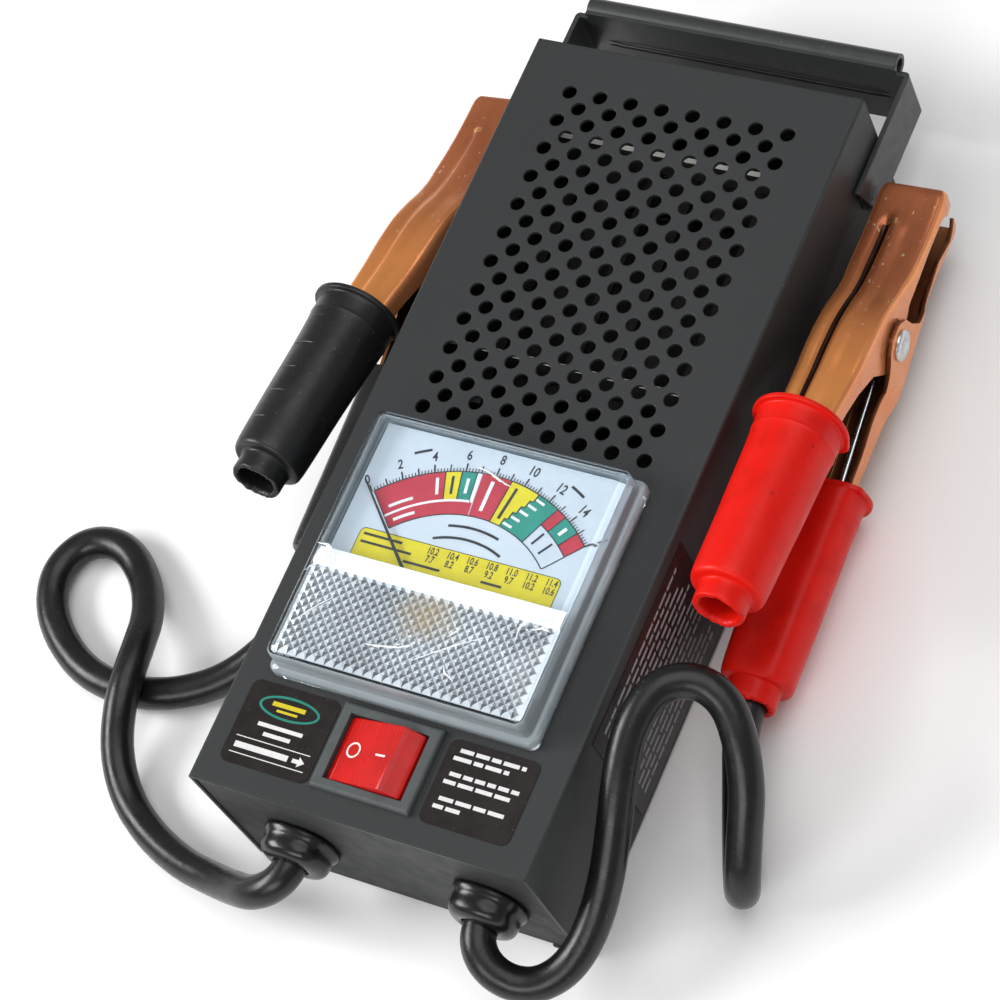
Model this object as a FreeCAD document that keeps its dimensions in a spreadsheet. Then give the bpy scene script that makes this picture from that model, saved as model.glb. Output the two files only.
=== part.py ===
import FreeCAD, Part
import math
import os
from FreeCAD import Vector, Placement, Rotation

# Hand-held load tester for 6 V and 12 V batteries.
# Frame: +Z up, the case rests on Z = 0, +Y towards the handle, +X to the right
# when the dial is read from the front.  Everything is drawn about the middle
# of the case and then moved by y_shift so that the origin is the middle of
# the footprint of case, handle and cable glands.

doc = FreeCAD.newDocument("battery_tester")
sheet = doc.addObject("Spreadsheet::Sheet", "Sizes")
_row = [0]


def cell(alias, value, note=""):
    _row[0] += 1
    sheet.set("A%d" % _row[0], alias)
    sheet.set("B%d" % _row[0], str(value))
    sheet.set("C%d" % _row[0], note)
    sheet.setAlias("B%d" % _row[0], alias)


# ---- driving dimensions, millimetres and degrees
cell("y_shift", 9.37, "the origin lies this far behind the middle of the case")
cell("body_w", 105.0, "case width")
cell("body_l", 246.0, "case length")
cell("body_t", 56.0, "case height")
cell("sheet_t", 1.2, "sheet steel")
cell("lip_w", 10.0, "inward bottom lip of the cover")
cell("hole_d", 4.45, "vent hole")
cell("pitch_x", 10.0, "vent pitch across")
cell("pitch_y", 4.9, "vent row pitch")
cell("vent_edge", 15.9, "first vent row from the rear edge")
cell("meter_x", -0.5, "meter centre")
cell("meter_y", -48.5, "meter centre")
cell("meter_w", 83.0, "meter cover width")
cell("meter_l", 81.0, "meter cover length")
cell("meter_t", 13.5, "meter cover height")
cell("dial_z", 62.0, "upper face of the dial")
cell("needle_x", -0.5, "needle pivot")
cell("needle_y", -66.0, "needle pivot")
cell("needle_r", 51.0, "needle length")
cell("switch_x", -1.2, "switch centre")
cell("switch_y", -103.2, "switch centre")
cell("bezel_w", 31.0, "switch bezel width")
cell("bezel_l", 25.4, "switch bezel length")
cell("bezel_t", 2.0, "switch bezel height")
cell("rocker_z", 53.5, "rocker axis height")
cell("gland_left_x", -26.8, "left gland centre")
cell("gland_right_x", 32.5, "right gland centre")
cell("gland_z", 28.0, "gland centre height")
cell("gland_rad", 9.8, "gland head")
cell("gland_out", 9.0, "gland head stands out")
cell("cord_d", 9.8, "lead outer diameter")
cell("arm_w", 18.0, "handle strap width")
cell("strap_t", 1.5, "handle strap thickness")
cell("handle_z", 28.0, "handle pivot height")
cell("handle_y", 109.5, "handle pivot")
cell("arm_z", 29.0, "handle arm centre height")
cell("side_gap", 0.6, "case side to handle arm")
cell("clamp_w", 20.4, "clamp jaw width")
cell("clamp_t", 1.2, "clamp sheet")
cell("rivet_rad", 2.5, "clamp rivet")
doc.recompute()


def S(alias):
    return float(sheet.get(alias))


NODES = []


def bind(obj, **exprs):
    for k, e in exprs.items():
        obj.setExpression(k.replace("__", "."), e)
    return obj


def node(obj, label, shifted=True):
    """Give a finished sub-part its name and its place in the row frame."""
    obj.Label = label
    if shifted:
        own = [e for p, e in obj.ExpressionEngine if p.lstrip(".") == "Placement.Base.y"]
        obj.setExpression("Placement.Base.y", "%s - Sizes.y_shift" % (own[0] if own else "0"))
    NODES.append((label, obj))
    return obj


def feature(shape, label, placement=None):
    f = doc.addObject("Part::Feature", "F_" + label)
    f.Shape = shape
    f.Placement = placement if placement is not None else Placement(Vector(0, -S("y_shift"), 0), Rotation())
    f.Label = label
    NODES.append((label, f))
    return f


_n = [0]


def nm(base):
    _n[0] += 1
    return "%s_%d" % (base, _n[0])


def box(x, y, z, lx, ly, lz):
    """Part::Box by its low corner; every argument is a number or an expression."""
    b = doc.addObject("Part::Box", nm("Box"))
    for prop, v in (("Length", lx), ("Width", ly), ("Height", lz),
                    ("Placement.Base.x", x), ("Placement.Base.y", y), ("Placement.Base.z", z)):
        b.setExpression(prop, v if isinstance(v, str) else repr(float(v)))
    return b


def cyl(x, y, z, r, h, axis="Z"):
    """Part::Cylinder from its base centre along an axis."""
    c = doc.addObject("Part::Cylinder", nm("Cyl"))
    rot = {"Z": Rotation(), "X": Rotation(Vector(0, 1, 0), 90), "Y": Rotation(Vector(1, 0, 0), -90)}[axis]
    c.Placement = Placement(Vector(0, 0, 0), rot)
    for prop, v in (("Radius", r), ("Height", h),
                    ("Placement.Base.x", x), ("Placement.Base.y", y), ("Placement.Base.z", z)):
        c.setExpression(prop, v if isinstance(v, str) else repr(float(v)))
    return c


def fuse(*objs):
    f = doc.addObject("Part::MultiFuse", nm("Fuse"))
    f.Shapes = list(objs)
    return f


def cut(base, *tools):
    t = tools[0] if len(tools) == 1 else fuse(*tools)
    c = doc.addObject("Part::Cut", nm("Cut"))
    c.Base = base
    c.Tool = t
    return c


def group(*objs):
    """Several separate solids in one node."""
    c = doc.addObject("Part::Compound", nm("Group"))
    c.Links = list(objs)
    return c


def fillet(base, r, want):
    """Part::Fillet on the edges of base for which want(edge) is true."""
    doc.recompute()
    f = doc.addObject("Part::Fillet", nm("Fillet"))
    f.Base = base
    f.Edges = [(i + 1, r, r) for i, e in enumerate(base.Shape.Edges) if want(e)]
    return f


def plane_of(body, role):
    return [o for o in body.Origin.OriginFeatures if o.Role == role][0]


def new_body(name):
    return doc.addObject("PartDesign::Body", "B_" + name)


def sketch(body, role, offset=0.0):
    sk = body.newObject("Sketcher::SketchObject", nm("Sketch"))
    sk.AttachmentSupport = [(plane_of(body, role), "")]
    sk.MapMode = "FlatFace"
    if offset:
        sk.AttachmentOffset = Placement(Vector(0, 0, offset), Rotation())
    return sk


import Sketcher


def poly(sk, pts, exprs=None):
    """A closed polygon whose corners are held by distance constraints.
    exprs maps (corner, 'x' or 'y') to a sheet expression."""
    exprs = exprs or {}
    n = len(pts)
    base = sk.GeometryCount
    for i in range(n):
        a, b = pts[i], pts[(i + 1) % n]
        sk.addGeometry(Part.LineSegment(Vector(a[0], a[1], 0), Vector(b[0], b[1], 0)), False)
    for i in range(n):
        sk.addConstraint(Sketcher.Constraint("Coincident", base + i, 2, base + (i + 1) % n, 1))
    for i in range(n):
        for k, ax in ((0, "DistanceX"), (1, "DistanceY")):
            c = sk.addConstraint(Sketcher.Constraint(ax, -1, 1, base + i, 1, float(pts[i][k])))
            key = (i, "xy"[k])
            if key in exprs:
                sk.setExpression("Constraints[%d]" % c, exprs[key])


def circle(sk, x, y, r, rexpr=None):
    g = sk.addGeometry(Part.Circle(Vector(x, y, 0), Vector(0, 0, 1), r), False)
    c = sk.addConstraint(Sketcher.Constraint("Radius", g, r))
    if rexpr:
        sk.setExpression("Constraints[%d]" % c, rexpr)
    return g


def pad(body, sk, length, mid=False, rev=False):
    p = body.newObject("PartDesign::Pad", nm("Pad"))
    p.Profile = sk
    p.setExpression("Length", length if isinstance(length, str) else repr(float(length)))
    p.Midplane = mid
    p.Reversed = rev
    return p


def pocket(body, sk, length, mid=False, rev=False):
    before = body.Shape.Volume
    p = body.newObject("PartDesign::Pocket", nm("Pocket"))
    p.Profile = sk
    p.setExpression("Length", length if isinstance(length, str) else repr(float(length)))
    p.Midplane = mid
    p.Reversed = rev
    doc.recompute()
    assert body.Shape.Volume < before - 1e-3, "pocket cut nothing"
    return p


def dress(body, kind, size, want):
    """Fillet or Chamfer on the edges of the body's present tip."""
    doc.recompute()
    base = body.Tip
    names = ["Edge%d" % (i + 1) for i, e in enumerate(base.Shape.Edges) if want(e)]
    assert names, "no edge to dress on " + body.Name
    f = body.newObject("PartDesign::" + kind, nm(kind))
    f.Base = (base, names)
    if kind == "Fillet":
        f.Radius = size
    else:
        f.Size = size
    body.Tip = f
    doc.recompute()
    assert f.isValid(), "%s failed on %s" % (kind, body.Name)
    return f


W, L, H, T = S("body_w"), S("body_l"), S("body_t"), S("sheet_t")

# =====================================================================
# CASE
# =====================================================================
# cover: top and both sides folded from one sheet, bottom edges turned in
b = new_body("case_cover")
sk = sketch(b, "XZ_Plane")
hw = W / 2
lip = S("lip_w")
pts = [(-hw + lip, 0), (-hw, 0), (-hw, H), (hw, H), (hw, 0), (hw - lip, 0),
       (hw - lip, T), (hw - T, T), (hw - T, H - T), (-hw + T, H - T), (-hw + T, T), (-hw + lip, T)]
ex = {(0, "x"): "-Sizes.body_w / 2 + Sizes.lip_w", (1, "x"): "-Sizes.body_w / 2", (2, "x"): "-Sizes.body_w / 2",
      (2, "y"): "Sizes.body_t", (3, "x"): "Sizes.body_w / 2", (3, "y"): "Sizes.body_t",
      (4, "x"): "Sizes.body_w / 2", (5, "x"): "Sizes.body_w / 2 - Sizes.lip_w",
      (6, "x"): "Sizes.body_w / 2 - Sizes.lip_w", (6, "y"): "Sizes.sheet_t",
      (7, "x"): "Sizes.body_w / 2 - Sizes.sheet_t", (7, "y"): "Sizes.sheet_t",
      (8, "x"): "Sizes.body_w / 2 - Sizes.sheet_t", (8, "y"): "Sizes.body_t - Sizes.sheet_t",
      (9, "x"): "-Sizes.body_w / 2 + Sizes.sheet_t", (9, "y"): "Sizes.body_t - Sizes.sheet_t",
      (10, "x"): "-Sizes.body_w / 2 + Sizes.sheet_t", (10, "y"): "Sizes.sheet_t",
      (11, "x"): "-Sizes.body_w / 2 + Sizes.lip_w", (11, "y"): "Sizes.sheet_t"}
poly(sk, pts, ex)
pad(b, sk, "Sizes.body_l", mid=True)
dress(b, "Fillet", 1.1, lambda e: len(e.Vertexes) == 2 and abs(e.Vertexes[0].Point.y - e.Vertexes[1].Point.y) > 200
      and abs(abs(e.Vertexes[0].Point.x) - hw) < 0.01)
# vent field: twelve rows of eight holes with eleven staggered rows of seven
sk = sketch(b, "XY_Plane")
for v in range(23):
    y = L / 2 - S("vent_edge") - v * S("pitch_y")
    n_ = 8 if v % 2 == 0 else 7
    for u in range(n_):
        x = 0.17 + (u - (n_ - 1) / 2.0) * S("pitch_x")
        sk.addGeometry(Part.Circle(Vector(x, y, 0), Vector(0, 0, 1), S("hole_d") / 2), False)
pocket(b, sk, "Sizes.body_t + 5", rev=True)
# meter opening with its four stud holes, and the switch opening
sk = sketch(b, "XY_Plane")
circle(sk, S("meter_x"), S("meter_y") - 5.5, 31.6)
for sx in (-1, 1):
    for sy in (-1, 1):
        circle(sk, S("meter_x") + sx * 33, S("meter_y") + sy * 32, 1.7)
sx_, sy_ = S("switch_x"), S("switch_y")
poly(sk, [(sx_ - 14, sy_ - 11), (sx_ + 14, sy_ - 11), (sx_ + 14, sy_ + 11), (sx_ - 14, sy_ + 11)])
pocket(b, sk, "Sizes.body_t + 5", rev=True)
# handle pivot holes through both sides
sk = sketch(b, "YZ_Plane")
circle(sk, S("handle_y"), S("handle_z"), 2.55)
pocket(b, sk, "Sizes.body_w + 10", mid=True)
# countersunk screw holes in the bottom lips
sk = sketch(b, "XY_Plane")
SCREW_XY = [(sx * (hw - 5.5), sy * (L / 2 - 22)) for sx in (-1, 1) for sy in (-1, 1)]
for x, y in SCREW_XY:
    circle(sk, x, y, 3.05)
pocket(b, sk, "Sizes.sheet_t", rev=True)
node(b, "case_cover")

# base tray: floor with front and rear walls, between the sides of the cover
b = new_body("base_tray")
sk = sketch(b, "YZ_Plane")
y0, y1, z0 = -L / 2 + 0.5, L / 2 - 0.5, T + 0.1
zt = H - T - 0.15
poly(sk, [(y0, z0), (y1, z0), (y1, zt), (y1 - T, zt), (y1 - T, z0 + T), (y0 + T, z0 + T), (y0 + T, zt), (y0, zt)],
     {(1, "x"): "Sizes.body_l / 2 - 0.5", (2, "x"): "Sizes.body_l / 2 - 0.5", (0, "x"): "-Sizes.body_l / 2 + 0.5",
      (7, "x"): "-Sizes.body_l / 2 + 0.5", (2, "y"): "Sizes.body_t - Sizes.sheet_t - 0.15",
      (7, "y"): "Sizes.body_t - Sizes.sheet_t - 0.15"})
pad(b, sk, "Sizes.body_w - 2 * Sizes.sheet_t - 0.3", mid=True)
doc.recompute()
# cable entry holes in the front wall
sk = sketch(b, "XZ_Plane")
for key in ("gland_left_x", "gland_right_x"):
    circle(sk, S(key), S("gland_z"), 7.5)
pocket(b, sk, "Sizes.body_l", rev=True)
# vent slots in the floor
sk = sketch(b, "XY_Plane")
for k in range(9):
    y = -10 + k * 14.0
    for x in (-22.0, 22.0):
        poly(sk, [(x - 14, y - 1.6), (x + 14, y - 1.6), (x + 14, y + 1.6), (x - 14, y + 1.6)])
pocket(b, sk, 5.0, rev=True)
sk = sketch(b, "XY_Plane")
for x, y in SCREW_XY:
    circle(sk, x, y, 1.45)
pocket(b, sk, 5.0, rev=True)
node(b, "base_tray")

# four countersunk screws up through the lips into the tray
scr = []
for x, y in SCREW_XY:
    c = doc.addObject("Part::Cone", nm("Cone"))
    c.Radius1, c.Radius2 = 3.0, 1.45
    c.setExpression("Height", "Sizes.sheet_t - 0.15")
    c.Placement = Placement(Vector(x, y, 0.1), Rotation())
    k = cyl(x, y, "Sizes.sheet_t - 0.05", 1.4, 6.0)
    d = box(x - 2.0, y - 0.3, 0.05, 4.0, 0.6, 0.5)
    scr.append(cut(fuse(c, k), d))
node(group(*scr), "case_screws")

# =====================================================================
# HANDLE: a bent strap pivoted on both sides, with rolled edges on the grip
# =====================================================================
xo = W / 2 + S("side_gap") + S("strap_t")          # outer face of the arms
yg = 145.0                                # rear face of the grip web
st = S("strap_t")
b = new_body("handle_strap")
sk = sketch(b, "XY_Plane")
ya = S("handle_y") - 7.5
poly(sk, [(-xo, ya), (-xo + st, ya), (-xo + st, yg - st), (xo - st, yg - st), (xo - st, ya), (xo, ya), (xo, yg), (-xo, yg)],
     {(0, "x"): "-Sizes.body_w / 2 - Sizes.side_gap - Sizes.strap_t", (7, "x"): "-Sizes.body_w / 2 - Sizes.side_gap - Sizes.strap_t",
      (5, "x"): "Sizes.body_w / 2 + Sizes.side_gap + Sizes.strap_t", (6, "x"): "Sizes.body_w / 2 + Sizes.side_gap + Sizes.strap_t",
      (1, "x"): "-Sizes.body_w / 2 - Sizes.side_gap", (2, "x"): "-Sizes.body_w / 2 - Sizes.side_gap",
      (3, "x"): "Sizes.body_w / 2 + Sizes.side_gap", (4, "x"): "Sizes.body_w / 2 + Sizes.side_gap"})
pad(b, sk, "Sizes.arm_w", mid=True)
dress(b, "Fillet", 1.45, lambda e: len(e.Vertexes) == 2 and abs(e.Vertexes[0].Point.z - e.Vertexes[1].Point.z) > 10
      and abs(e.Vertexes[0].Point.y - yg) < 0.01)
sk = sketch(b, "YZ_Plane")
circle(sk, S("handle_y"), S("handle_z") - S("arm_z"), 2.05)
# the free ends of the arms are cut on a slant
ya2 = ya - 1.0
poly(sk, [(ya2, -10.0), (ya2, 10.0), (ya2 + 1.4, 10.0), (ya + 6.0, -8.0), (ya + 6.0, -10.0)])
pocket(b, sk, 130.0, mid=True)
b.setExpression("Placement.Base.z", "Sizes.arm_z")
# rolled edges: the upper one turns rearwards, the lower one forwards
def roll(yc, zc, x1, r_out=3.5):
    o = cyl(-x1, yc, zc, r_out, 2 * x1, "X")
    i = cyl(-x1 - 1, yc, zc, r_out - 1.3, 2 * x1 + 2, "X")
    return o, i


o1, i1 = roll(yg + 1.9, 38.0, 50.4, 3.4)
o2, i2 = roll(yg + 1.5, 15.4, 50.4, 3.0)
bead = cyl(-50.4, yg - 0.2, 25.6, 1.3, 100.8, "X")
web = box(-50.4, yg - st, 13.5, 100.8, st, 27.0)
node(cut(fuse(b, web, o1, o2, bead), fuse(i1, i2)), "handle")

piv = []
wsh = []
clp = []
for s_ in (-1, 1):
    # pivot: riveted flush in the arm, shoulder turning in the case side
    x_in = s_ * (W / 2 - T - 2.6)
    x_out = s_ * xo
    lo = min(x_in, x_out)
    piv.append(cyl(lo, "Sizes.handle_y", "Sizes.handle_z", 2.0, abs(x_out - x_in), "X"))
    a = cyl(min(s_ * (W / 2 + 0.05), s_ * (W / 2 + 0.55)), "Sizes.handle_y", "Sizes.handle_z", 5.0, 0.5, "X")
    h_ = cyl(min(s_ * (W / 2), s_ * (W / 2 + 0.7)) - 0.5, "Sizes.handle_y", "Sizes.handle_z", 2.06, 1.7, "X")
    wsh.append(cut(a, h_))
    xc_ = s_ * (W / 2 - T - 1.2)
    a = cyl(xc_ - 0.5, "Sizes.handle_y", "Sizes.handle_z", 4.2, 1.0, "X")
    h_ = cyl(xc_ - 1.5, "Sizes.handle_y", "Sizes.handle_z", 2.06, 3.0, "X")
    slot = box(xc_ - 1.0, "Sizes.handle_y - 1.2", "Sizes.handle_z - 6", 2.0, 2.4, 5.0)
    clp.append(cut(a, fuse(h_, slot)))
node(group(*piv), "handle_pivots")
node(group(*wsh), "handle_washers")
node(group(*clp), "handle_clips")

# =====================================================================
# PANEL METER
# =====================================================================
mx, my, mw, ml, mt = S("meter_x"), S("meter_y"), S("meter_w"), S("meter_l"), S("meter_t")
# clear cover: stepped flange, raised window, hollow underneath
b = new_body("meter_cover")
sk = sketch(b, "XY_Plane")
poly(sk, [(-mw / 2, -ml / 2), (mw / 2, -ml / 2), (mw / 2, ml / 2), (-mw / 2, ml / 2)],
     {(0, "x"): "-Sizes.meter_w / 2", (3, "x"): "-Sizes.meter_w / 2", (1, "x"): "Sizes.meter_w / 2", (2, "x"): "Sizes.meter_w / 2",
      (0, "y"): "-Sizes.meter_l / 2", (1, "y"): "-Sizes.meter_l / 2", (2, "y"): "Sizes.meter_l / 2", (3, "y"): "Sizes.meter_l / 2"})
pad(b, sk, 4.0)
sk = sketch(b, "XY_Plane")
q = 1.6
poly(sk, [(-mw / 2 + q, -ml / 2 + q), (mw / 2 - q, -ml / 2 + q), (mw / 2 - q, ml / 2 - q), (-mw / 2 + q, ml / 2 - q)])
pad(b, sk, "Sizes.meter_t")
doc.recompute()
sk = sketch(b, "XY_Plane")
q = 2.7
poly(sk, [(-mw / 2 + q, -ml / 2 + q), (mw / 2 - q, -ml / 2 + q), (mw / 2 - q, ml / 2 - q), (-mw / 2 + q, ml / 2 - q)])
pocket(b, sk, "Sizes.meter_t - 2.2", rev=True)
dress(b, "Fillet", 2.2, lambda e: len(e.Vertexes) == 2 and abs(e.Vertexes[0].Point.z - e.Vertexes[1].Point.z) > 3
      and abs(e.Vertexes[0].Point.x) > mw / 2 - 2)
dress(b, "Chamfer", 1.6, lambda e: abs(e.BoundBox.ZMin - mt) < 0.01 and abs(e.BoundBox.ZMax - mt) < 0.01)
b.setExpression("Placement.Base.x", "Sizes.meter_x")
b.setExpression("Placement.Base.z", "Sizes.body_t")
b.Placement.Base.y = 0
b.Label = "meter_cover"
b.setExpression("Placement.Base.y", "Sizes.meter_y - Sizes.y_shift")
NODES.append(("meter_cover", b))

# moulded base with the round can behind the panel
pl = box("Sizes.meter_x - 37", "Sizes.meter_y - 36", "Sizes.body_t + 0.05", 74, 72, 2.4)
can = cyl("Sizes.meter_x", "Sizes.meter_y - 5.5", "Sizes.body_t - 30", 31.0, 31.0)
bore = cyl("Sizes.meter_x", "Sizes.meter_y - 5.5", "Sizes.body_t - 28", 29.2, 40.0)
st1 = cyl("Sizes.meter_x - 16", "Sizes.meter_y + 6", "Sizes.body_t - 40", 2.55, 20.0)
st2 = cyl("Sizes.meter_x + 16", "Sizes.meter_y + 6", "Sizes.body_t - 40", 2.55, 20.0)
node(cut(fuse(pl, can), fuse(bore, st1, st2)), "meter_base")

# dial plate on two pillars
dp = box("Sizes.meter_x - 38", "Sizes.meter_y - 28", "Sizes.dial_z - 0.6", 76, 65.3, 0.6)
nb = cyl("Sizes.needle_x", "Sizes.needle_y", "Sizes.dial_z - 3", 6.5, 6.0)
node(cut(dp, nb), "dial_plate")
p1 = cyl("Sizes.meter_x - 31", "Sizes.meter_y + 10", "Sizes.body_t + 2.45", 2.2, "Sizes.dial_z - 0.6 - Sizes.body_t - 2.45")
p2 = cyl("Sizes.meter_x + 31", "Sizes.meter_y + 10", "Sizes.body_t + 2.45", 2.2, "Sizes.dial_z - 0.6 - Sizes.body_t - 2.45")
node(group(p1, p2), "dial_pillars")

nx, ny, nr, dz = S("needle_x"), S("needle_y"), S("needle_r"), S("dial_z")
# needle: hub, long blade at the zero mark and a short balance tail
ang = math.radians(135)
u = Vector(math.cos(ang), math.sin(ang), 0)
n = Vector(-u.y, u.x, 0)
def blade(r0, r1, w0, w1, z, t):
    c = Vector(nx, ny, z)
    p = [c + u * r0 - n * w0 / 2, c + u * r1 - n * w1 / 2, c + u * r1 + n * w1 / 2, c + u * r0 + n * w0 / 2]
    return Part.Face(Part.makePolygon(p + [p[0]])).extrude(Vector(0, 0, t))


hub = Part.makeCylinder(3.2, 2.2, Vector(nx, ny, dz + 0.5))
hub = hub.cut(Part.makeCylinder(0.7, 4, Vector(nx, ny, dz - 0.5)))
arm = blade(2.0, nr, 1.3, 0.45, dz + 1.3, 0.35)
tail = blade(-9.0, -2.0, 2.2, 1.3, dz + 1.3, 0.35)
shape = hub.fuse([arm, tail]).removeSplitter()
feature(shape, "meter_needle")
node(cyl("Sizes.needle_x", "Sizes.needle_y", "Sizes.dial_z - 18.5", 0.7, 22.0), "needle_shaft")
# moving coil: rectangular winding around the core, on the shaft
fr = box("Sizes.needle_x - 8.5", "Sizes.needle_y - 2.2", "Sizes.dial_z - 16", 17.0, 4.4, 13.0)
fi = box("Sizes.needle_x - 7.0", "Sizes.needle_y - 4.0", "Sizes.dial_z - 14.5", 14.0, 8.0, 10.0)
fs = cyl("Sizes.needle_x", "Sizes.needle_y", "Sizes.dial_z - 20", 0.7, 25.0)
node(cut(fr, fi, fs), "moving_coil")
# soft-iron core inside the coil, drilled for the shaft
co = cyl("Sizes.needle_x", "Sizes.needle_y", "Sizes.dial_z - 14", 6.3, 9.0)
ch = cyl("Sizes.needle_x", "Sizes.needle_y", "Sizes.dial_z - 20", 1.3, 25.0)
node(cut(co, ch), "meter_core")
# ring magnet around the coil
mo = cyl("Sizes.needle_x", "Sizes.needle_y", "Sizes.dial_z - 17", 12.4, 11.0)
node(cut(mo, cyl("Sizes.needle_x", "Sizes.needle_y", "Sizes.dial_z - 18", 9.2, 14.0)), "meter_magnet")
# lower and upper jewel bridges
lb = box("Sizes.needle_x - 12", "Sizes.needle_y - 2.5", "Sizes.dial_z - 19.1", 24.0, 5.0, 2.0)
foot_ = cyl("Sizes.needle_x", "Sizes.needle_y", "Sizes.body_t - 27.95", 5.0, "Sizes.dial_z - Sizes.body_t + 9.0")
node(cut(fuse(lb, foot_), cyl("Sizes.needle_x", "Sizes.needle_y", "Sizes.dial_z - 22", 0.75, 5.0)), "lower_bridge")
ub = box("Sizes.needle_x - 11", "Sizes.needle_y - 2.5", "Sizes.dial_z + 3.6", 22.0, 5.0, 1.2)
f1 = box("Sizes.needle_x - 12.2", "Sizes.needle_y - 2.5", "Sizes.dial_z + 0.02", 1.2, 5.0, 4.78)
f2 = box("Sizes.needle_x + 11", "Sizes.needle_y - 2.5", "Sizes.dial_z + 0.02", 1.2, 5.0, 4.78)
node(cut(fuse(ub, f1, f2), cyl("Sizes.needle_x", "Sizes.needle_y", "Sizes.dial_z + 3", 0.75, 3.0)), "upper_bridge")
# hairspring: a flat spiral above the needle hub
turns, k = [], 0
prev = None
pts = []
for i in range(0, 33):
    a = i * math.pi / 6
    r = 1.6 + 0.085 * i
    pts.append(Vector(nx + r * math.cos(a), ny + r * math.sin(a), dz + 3.05))
outer = [p + (p - Vector(nx, ny, p.z)).normalize() * 0.16 for p in pts]
inner = [p - (p - Vector(nx, ny, p.z)).normalize() * 0.16 for p in pts]
wire = Part.makePolygon(outer + list(reversed(inner)) + [outer[0]])
feature(Part.Face(wire).extrude(Vector(0, 0, 0.35)), "hairspring")
# terminal studs behind the meter, with nuts and solder tags
for key in ("meter_studs",):
    s1 = cyl("Sizes.meter_x - 16", "Sizes.meter_y + 6", "Sizes.body_t - 41", 2.5, 17.0)
    s2 = cyl("Sizes.meter_x + 16", "Sizes.meter_y + 6", "Sizes.body_t - 41", 2.5, 17.0)
    node(group(s1, s2), key)


def hexnut(x, y, z, af, h, r):
    p = doc.addObject("Part::Prism", nm("Hex"))
    p.Polygon = 6
    p.Circumradius = af / math.sqrt(3)
    p.setExpression("Height", repr(float(h)))
    p.setExpression("Placement.Base.x", x)
    p.setExpression("Placement.Base.y", y)
    p.setExpression("Placement.Base.z", z)
    return cut(p, cyl(x, y, z + " - 1", r, h + 2))


node(group(hexnut("Sizes.meter_x - 16", "Sizes.meter_y + 6", "Sizes.body_t - 34.2", 8.0, 4.0, 2.52),
           hexnut("Sizes.meter_x + 16", "Sizes.meter_y + 6", "Sizes.body_t - 34.2", 8.0, 4.0, 2.52)), "stud_nuts")
mounts = []
mnuts = []
for sx in (-1, 1):
    for sy in (-1, 1):
        X = "Sizes.meter_x + %g" % (sx * 33)
        Y = "Sizes.meter_y + %g" % (sy * 32)
        mounts.append(cyl(X, Y, "Sizes.body_t - 9", 1.5, 9.0))
        mnuts.append(hexnut(X, Y, "Sizes.body_t - Sizes.sheet_t - 2.5", 5.5, 2.4, 1.52))
node(group(*mounts), "meter_posts")
node(group(*mnuts), "meter_post_nuts")

# =====================================================================
# ROCKER SWITCH
# =====================================================================
SX, SY = "Sizes.switch_x", "Sizes.switch_y"
bz = box(SX + " - Sizes.bezel_w / 2", SY + " - Sizes.bezel_l / 2", "Sizes.body_t + 0.02", "Sizes.bezel_w", "Sizes.bezel_l", "Sizes.bezel_t")
bd = box(SX + " - 13.7", SY + " - 10.7", "Sizes.body_t - 22", 27.4, 21.4, 22.5)
hol = box(SX + " - 12.25", SY + " - 9.75", "Sizes.body_t - 20.5", 24.5, 19.5, 30.0)
ax = cyl(SX, SY + " - 10.75", "Sizes.rocker_z", 1.05, 21.5, "Y")
tm = [box(SX + " + %g" % dx, SY + " - 3.2", "Sizes.body_t - 25", 0.84, 6.4, 6.0) for dx in (-8.42, -0.42, 7.58)]
bezel = fillet(fuse(bz, bd), 1.1, lambda e: abs(e.BoundBox.ZMin - (H + 0.02 + 2.0)) < 0.01 and abs(e.BoundBox.ZMax - (H + 0.02 + 2.0)) < 0.01)
node(cut(bezel, hol, ax, *tm), "switch_body")
# rocker: two faces meeting at a ridge, rounded underneath, drilled for its pin
sxv, syv, rz = S("switch_x"), S("switch_y"), S("rocker_z")
prof = [(-11.9, 2.9), (6.0, 7.7), (11.3, 4.3), (10.8, -3.0), (4.0, -6.0), (-4.0, -6.0), (-11.2, -3.0)]
pp = [Vector(sxv + a, syv - 9.45, rz + c) for a, c in prof]
rk = Part.Face(Part.makePolygon(pp + [pp[0]])).extrude(Vector(0, 18.9, 0))
rk = rk.cut(Part.makeCylinder(1.05, 30, Vector(sxv, syv - 15, rz), Vector(0, 1, 0)))
edges = [e for e in rk.Edges if e.BoundBox.ZMin > rz + 2.5 and e.Length > 3]
rk = rk.makeFillet(0.7, edges)
feature(rk, "rocker")
node(cyl(SX, SY + " - 10.6", "Sizes.rocker_z", 1.0, 21.2, "Y"), "rocker_pin")
node(group(*[box(SX + " + %g" % dx, SY + " - 3.15", "Sizes.body_t - 31", 0.8, 6.3, 14.0) for dx in (-8.4, -0.4, 7.6)]), "switch_terminals")
cb1 = box(SX + " - 8.6", SY + " - 2.5", "Sizes.body_t - 15.2", 18.0, 5.0, 0.8)
cb2 = box(SX + " - 1.2", SY + " - 1.5", "Sizes.body_t - 16.9", 2.4, 3.0, 1.7)
node(fuse(cb1, cb2), "switch_contact")
sp_o = cyl(SX, SY, "Sizes.body_t - 14.35", 2.0, 4.5)
sp_i = cyl(SX, SY, "Sizes.body_t - 15", 1.2, 8.0)
node(cut(sp_o, sp_i), "switch_spring")

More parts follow.
